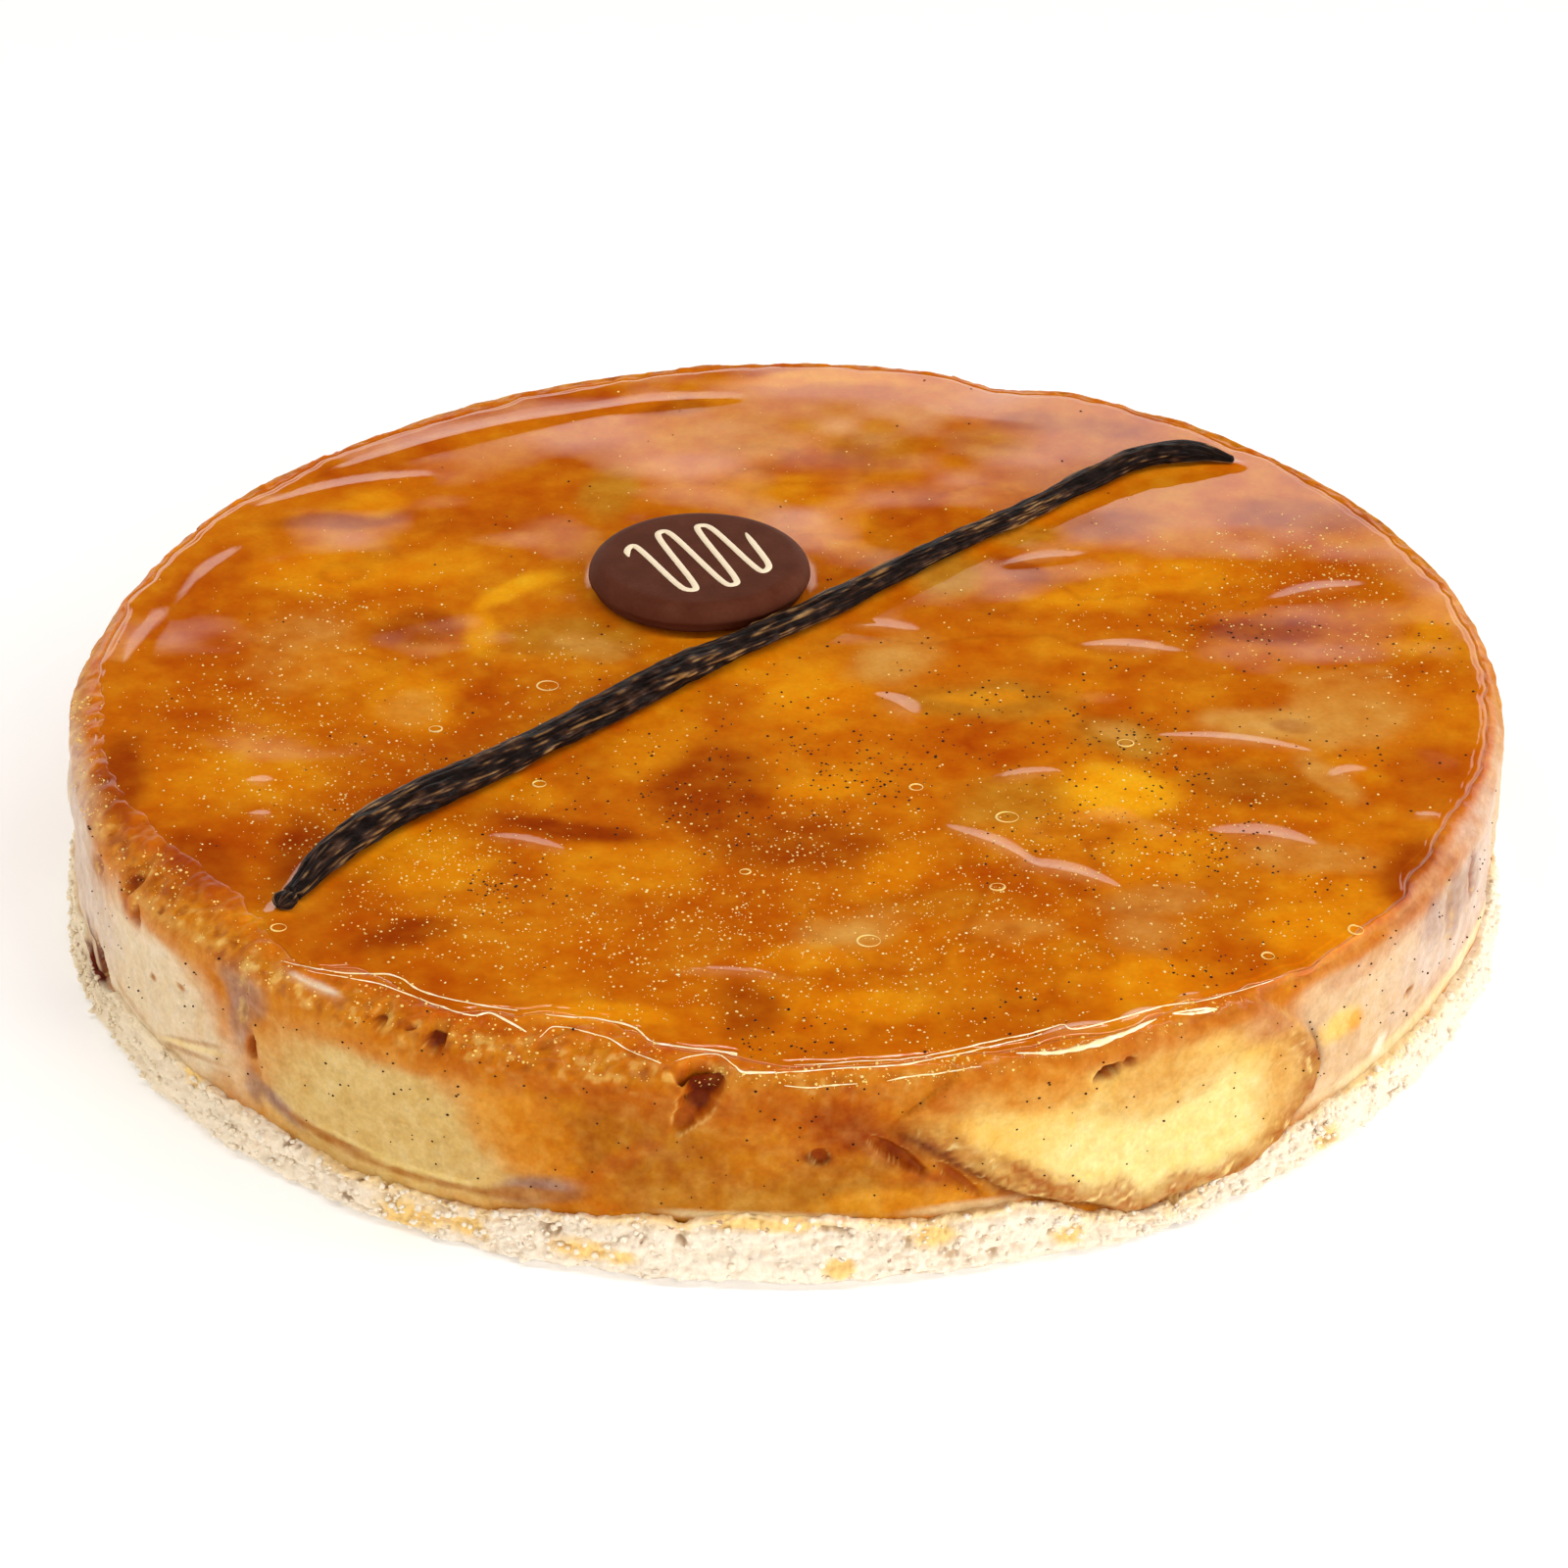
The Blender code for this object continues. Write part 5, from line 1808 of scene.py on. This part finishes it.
flat = drift(BUBBLE_DRIFTS, rng)
bubble_sizes = 0.00007 + 0.00016 * rng.random(len(flat)) ** 3
places = np.column_stack([flat, glaze_height(flat)])
points, faces = scatter(places, bubble_sizes, 0.6, 0.05, rng)
# The pale gold of the bubbles and their rings is a painted highlight
glint_finish, tree, shader = new_material(
    "painted_glints",
    Roughness=0.3,
    Specular_IOR_Level=0.3,
    Coat_Weight=0.6,
    Coat_Roughness=0.06,
    Subsurface_Weight=0.4,
    Subsurface_Scale=0.0006,
)
paint(tree, shader, (0.95, 0.60, 0.16), (420.0, 1.6), (900.0, 0.3))


def bubble_ring(x, y, width):
    """A thin, slightly oval wall standing on the glaze, as points and faces."""
    turn = np.linspace(0.0, 2 * math.pi, 33)
    seen = np.column_stack([x + width / 2 * np.cos(turn), y + 0.9 * width / 2 * np.sin(turn)]) * MM
    flat = from_seen(seen)
    route = np.column_stack([flat, glaze_height(flat) + 0.00003])
    wall = 0.00009 * (1.0 + 0.6 * np.sin(turn + x))
    return sweep(route, wall, wall, 6)


ring_points, ring_faces = [points], faces
for x, y, width in BUBBLE_RINGS:
    more, more_faces = bubble_ring(x, y, width)
    first = sum(len(part) for part in ring_points)
    ring_faces += [[first + corner for corner in face] for face in more_faces]
    ring_points.append(more)
points, faces = np.vstack(ring_points), ring_faces
make_piece("glaze_bubble_glints", points, faces, glint_finish)

flat = drift(SEED_DRIFTS, rng)
seed_sizes = 0.00010 + 0.00015 * rng.random(len(flat))
places = np.column_stack([flat, glaze_height(flat) - 0.00002])
side_angles = SEEDS_START + SEEDS_SPAN * rng.random(SIDE_SEEDS)
side_heights = 0.010 + 0.019 * rng.random(SIDE_SEEDS)
side_reach = side_radius(side_angles, side_heights)
side_places = np.column_stack([directions(side_angles) * side_reach[:, None], side_heights])
places = np.vstack([places, side_places])
seed_sizes = np.concatenate([seed_sizes, 0.00011 + 0.00012 * rng.random(SIDE_SEEDS)])
points, faces = scatter(places, seed_sizes, 0.7, 0.25, rng)
seed_finish, tree, shader = new_material("vanilla_seeds", Roughness=0.7, Specular_IOR_Level=0.1)
paint(tree, shader, (0.030, 0.008, 0.003), (500.0, 0.8), (2000.0, 0.3))
make_piece("vanilla_seeds", points, faces, seed_finish)

# %% [markdown]
# Where the glaze ends it stands up as a thin bead, doubled in places, painted white and gold as a
# painted highlight of the bright lines that its edge mirrors. The beads are thin tubes. Their routes
# are given as the camera sees them over a level top, and a ray from the camera finds the surface
# under each point. Small golden grains on the rim beside them are painted glints of the torn fruit.

# %% Beads and grains along the edge of the glaze
# Routes of the beads, whose white and gold is a painted highlight
# Angle, share of the radius, half width in mm
HIGHLIGHT_BEADS = (
    (
        (229.1, 0.977, 0.05), (233.7, 0.950, 0.12), (237.4, 0.917, 0.12), (241.3, 0.930, 0.14),
        (248.7, 0.917, 0.08),
    ),
    (
        (231.3, 0.973, 0.05), (236.9, 0.944, 0.10), (241.3, 0.946, 0.12), (245.6, 0.950, 0.16),
        (247.1, 0.935, 0.20), (250.5, 0.958, 0.14),
    ),
    (
        (251.0, 0.913, 0.06), (255.6, 0.904, 0.13), (258.4, 0.914, 0.16), (260.3, 0.941, 0.16),
        (264.7, 0.949, 0.16), (266.6, 0.956, 0.26),
    ),
    (
        (251.7, 0.963, 0.06), (252.5, 0.934, 0.08), (256.3, 0.941, 0.10), (258.3, 0.961, 0.10),
        (261.2, 0.985, 0.10),
    ),
    (
        (262.2, 0.978, 0.05), (263.4, 0.964, 0.09), (265.2, 0.957, 0.09), (266.5, 0.981, 0.12),
        (267.3, 0.995, 0.20), (269.5, 0.993, 0.08),
    ),
    (
        (267.3, 0.997, 0.12), (270.8, 0.993, 0.10), (274.0, 0.988, 0.10), (278.6, 0.987, 0.12),
        (284.5, 0.973, 0.12), (289.5, 0.964, 0.08),
    ),
    (
        (270.8, 0.978, 0.06), (275.1, 0.974, 0.09), (279.7, 0.975, 0.09), (284.8, 0.962, 0.12),
        (289.9, 0.956, 0.12), (291.5, 0.953, 0.12), (292.3, 0.968, 0.12), (298.0, 0.969, 0.14),
        (300.3, 0.972, 0.14), (302.4, 0.985, 0.12), (308.4, 1.000, 0.06),
    ),
    (
        (286.9, 0.993, 0.10), (289.6, 1.008, 0.34), (292.6, 1.008, 0.44), (296.1, 0.998, 0.36),
        (298.1, 0.991, 0.10),
    ),
    (
        (299.5, 0.991, 0.12), (300.9, 1.004, 0.24), (302.6, 1.010, 0.20), (301.4, 0.998, 0.18),
        (299.6, 0.990, 0.08),
    ),
    (
        (270.1, 1.023, 0.05), (271.9, 1.028, 0.16), (273.5, 1.024, 0.14), (275.1, 1.023, 0.05),
    ),
    (
        (277.2, 1.021, 0.05), (278.6, 1.015, 0.16), (281.0, 1.014, 0.14), (284.0, 1.010, 0.05),
    ),
)
BEAD_SWELL = 0.95
GRAIN_COUNT = 2200
GRAIN_START = 183.0
GRAIN_SPAN = 122.0


def surface_under(angle, share):
    """The point of the dressed tart that the camera sees at this place of a level top, if any."""
    turn = math.radians(angle)
    eye = camera.location
    radius = share * TART_RADIUS
    seen = Vector((radius * math.cos(turn), radius * math.sin(turn), TART_HEIGHT - 0.0002))
    ray = (seen - eye).normalized()
    hits = [piece.ray_cast(eye, ray) for piece in (lid, drum)]
    found = [spot for struck, spot, _, _ in hits if struck]
    return min(found, key=lambda spot: (spot - eye).length) if found else None


bpy.context.view_layer.update()
bead_points, bead_faces, bead_total = [], [], 0
for rows in HIGHLIGHT_BEADS:
    route = smooth_route(rows, 14)
    spots = np.array([surface_under(angle, share) for angle, share, _ in route])
    spots += (0.00012 * wobble(spots, 0.0015, 121))[:, None] * (0.0, 1.0, 0.0)
    width = route[:, 2] * MM * BEAD_SWELL * (1.0 + 0.5 * wobble(spots, 0.0007, 122))
    points, faces = sweep(spots, width, width * 0.8, 8)
    bead_points.append(points)
    bead_faces += [[bead_total + corner for corner in face] for face in faces]
    bead_total += len(points)
# The beads' pale white gold is a painted highlight of the lines that the glaze's edge mirrors
highlight_bead_finish, tree, shader = new_material("painted_highlight_beads", Roughness=0.3, Coat_Weight=0.5, Coat_Roughness=0.05)
paint(tree, shader, (0.98, 0.84, 0.50), (700.0, 3.0), (2500.0, 0.2))
make_piece("edge_highlight_beads", np.vstack(bead_points), bead_faces, highlight_bead_finish)

# Golden lumps on the torn rim, in the glint finish: painted glints of the wet fruit
grain_angles = GRAIN_START + GRAIN_SPAN * rng.random(GRAIN_COUNT) ** 1.2
grain_reach = glaze_reach(grain_angles) / TART_RADIUS
grain_shares = grain_reach + (1.03 - grain_reach) * rng.random(GRAIN_COUNT)
found = [surface_under(angle, share) for angle, share in zip(grain_angles, grain_shares)]
places = np.array([spot for spot in found if spot is not None])
gathered = rough(places, 0.0040, 123) > rng.random(len(places)) * 0.8 - 0.35
grain_sizes = 0.00007 + 0.00020 * rng.random(gathered.sum()) ** 3
points, faces = scatter(places[gathered], grain_sizes, 0.8, 0.3, rng)
make_piece("rim_glint_grains", points, faces, glint_finish)

# %% [markdown]
# A cured vanilla pod is flat, nearly black and wrinkled along its length. The skin dries in long
# ridges, and their crests show golden brown fibres. The ridges are real height round a swept tube,
# stretched far along it, and the crests are stored as a value for the material.

# %% Vanilla pod
POD_SIDES = 88
KNOB_LENGTH = 0.0016
KNOB_SIZE = 0.62
RIDGE_HEIGHT = 0.22
RIDGE_CELL = 0.30
FINE_RIDGE_HEIGHT = 0.09
FINE_RIDGE_CELL = 0.12
along = np.concatenate([[0.0], np.cumsum(np.linalg.norm(np.diff(pod_route[:, :2], axis=0), axis=1))])
turn = np.arange(POD_SIDES) * 2 * math.pi / POD_SIDES
grid_along, grid_turn = np.meshgrid(along, turn, indexing="ij")
skin = np.stack([np.cos(grid_turn) * 0.9, np.sin(grid_turn) * 0.9, grid_along * 55.0], axis=2).reshape(-1, 3)
ridges = rough(skin, RIDGE_CELL, 5, 2).reshape(grid_along.shape)
fine_ridges = wobble(skin * (1, 1, 1.1), FINE_RIDGE_CELL, 9).reshape(grid_along.shape)
relief = 1.0 + RIDGE_HEIGHT * ridges + FINE_RIDGE_HEIGHT * fine_ridges
size = pod_route[:, 2] * (1.0 + 0.10 * wobble(pod_route * (1, 1, 0), 0.0045, 18))
knob = np.clip(1.0 - (1.0 - along / KNOB_LENGTH) ** 2, 0.0, 1.0) ** 0.5
size = np.where(along < 2 * KNOB_LENGTH, np.maximum(KNOB_SIZE * knob, size * knob), size)
size[0] = 0.12
size[-1] *= 0.2
base_height = glaze_height(pod_route[:, :2]) - FILLET_HEIGHT
centres = np.column_stack([pod_route[:, :2], base_height + POD_HALF_THICKNESS * pod_route[:, 2] + POD_LIFT])
points, faces = sweep(centres, POD_HALF_WIDTH * size, POD_HALF_THICKNESS * size, POD_SIDES, relief)
pod_finish, tree, shader = new_material(
    "vanilla_skin", Roughness=0.5, Specular_IOR_Level=0.03, Coat_Weight=0.06, Coat_Roughness=0.14
)
crest = read_attribute(tree, "crest").outputs["Fac"]
ramp = tree.nodes.new("ShaderNodeValToRGB")
ramp.color_ramp.elements[0].position = 0.26
ramp.color_ramp.elements[0].color = (0.009, 0.005, 0.004, 1.0)
ramp.color_ramp.elements[1].position = 0.84
ramp.color_ramp.elements[1].color = (0.30, 0.16, 0.055, 1.0)
middle_stop = ramp.color_ramp.elements.new(0.50)
middle_stop.color = (0.042, 0.018, 0.010, 1.0)
tree.links.new(crest, ramp.inputs["Fac"])
paint(tree, shader, ramp.outputs["Color"], (500.0, 0.9), (2500.0, 0.5))
roughen(tree, shader, (1500.0, 0.5), (3000.0, 0.5), strength=0.6, distance=0.0003)
pod = make_piece("vanilla_pod_skin", points, faces, pod_finish, ["vanilla_pod"])
crests = np.clip(0.42 + 0.36 * ridges + 0.62 * fine_ridges, 0.0, 1.0)
golden = ease(wobble(skin * (1, 1, 0.8), 0.5, 12).reshape(grid_along.shape), -0.5, 0.6)
add_values(pod, "crest", (crests * (0.55 + 0.45 * golden)).ravel().astype(np.float32))

# %% [markdown]
# The disc was cast in a mould: flat on top, with a broad round shoulder and a slightly undercut
# foot. It is its profile turned about its axis. Tempered chocolate is satin, with a faint bloom.

# %% Chocolate disc
DISC_SIDES = 160
DISC_BELLY = 0.36
DISC_UNDERCUT = 0.0008
DISC_SHOULDER = 0.0027
THREAD_RISE = 0.00022
disc_thickness = disc_high.z - disc_low.z - THREAD_RISE
belly = disc_thickness * DISC_BELLY
foot_turns = np.radians(np.linspace(0, 80, 7))
crown_turns = np.radians(np.linspace(0, 90, 13))
foot_profile = [(DISC_RADIUS - DISC_UNDERCUT * math.cos(t), belly * math.sin(t)) for t in foot_turns]
crown_profile = [
    (DISC_RADIUS - DISC_SHOULDER * (1 - math.cos(t)), belly + (disc_thickness - belly) * math.sin(t))
    for t in crown_turns
]
flat_profile = [
    (DISC_RADIUS * share - DISC_SHOULDER * share, disc_thickness) for share in (0.9, 0.6, 0.3, 0.05)
]
turn = np.arange(DISC_SIDES) * 2 * math.pi / DISC_SIDES
disc_rings = []
for radius, height in foot_profile + crown_profile + flat_profile:
    x = DISC_CENTRE[0] + radius * np.cos(turn)
    y = DISC_CENTRE[1] + radius * np.sin(turn)
    disc_rings.append(np.column_stack([x, y, np.full(DISC_SIDES, disc_low.z + height)]))
points, places = stack(disc_rings)
faces = close_rings(places)
disc_finish, tree, shader = new_material(
    "chocolate", Roughness=0.42, Subsurface_Weight=0.05, Subsurface_Scale=0.001, Specular_IOR_Level=0.012
)
paint(tree, shader, (0.088, 0.025, 0.013), (240.0, 0.25), (1800.0, 0.35))
roughen(tree, shader, (900.0, 0.2), (2200.0, 0.5), strength=0.12, distance=0.0003)
make_piece("moulded_chocolate", points, faces, disc_finish, ["chocolate_disc"])

# %% [markdown]
# Such discs are often finished with a line of cream-coloured cocoa butter. Here it is one thread,
# piped to and fro with round turns, a plain ornament of any pastry shop.

# %% Cocoa butter thread
THREAD_HALF_WIDTH = 0.00050
THREAD_HALF_HEIGHT = THREAD_RISE * 0.95
THREAD_PASSES = 6
THREAD_SPAN = 0.0185
THREAD_REACH = 0.0098
THREAD_TURN = math.radians(24)
t = np.linspace(0.0, 1.0, 420)
forward = (t - 0.5) * THREAD_SPAN
swing = np.tanh(2.4 * np.sin(t * THREAD_PASSES * math.pi + 0.4)) / math.tanh(2.4)
reach = THREAD_REACH * np.sqrt(np.clip(1 - (forward / (THREAD_SPAN * 0.62)) ** 2, 0.05, 1))
side = swing * reach
x = DISC_CENTRE[0] + forward * math.cos(THREAD_TURN) - side * math.sin(THREAD_TURN)
y = DISC_CENTRE[1] + forward * math.sin(THREAD_TURN) + side * math.cos(THREAD_TURN)
thread_route = np.column_stack([x, y, np.full(len(t), disc_high.z - THREAD_RISE)])
ends = np.sqrt(np.clip(np.minimum(t, 1 - t) * 60, 0.1, 1))
points, faces = sweep(thread_route, THREAD_HALF_WIDTH * ends, THREAD_HALF_HEIGHT * ends, 12)
thread_finish, tree, shader = new_material("cocoa_butter", Roughness=0.5, Specular_IOR_Level=0.4)
paint(tree, shader, (0.86, 0.72, 0.52), (500.0, 0.12), (2500.0, 0.10))
make_piece("cocoa_butter_thread", points, faces, thread_finish)
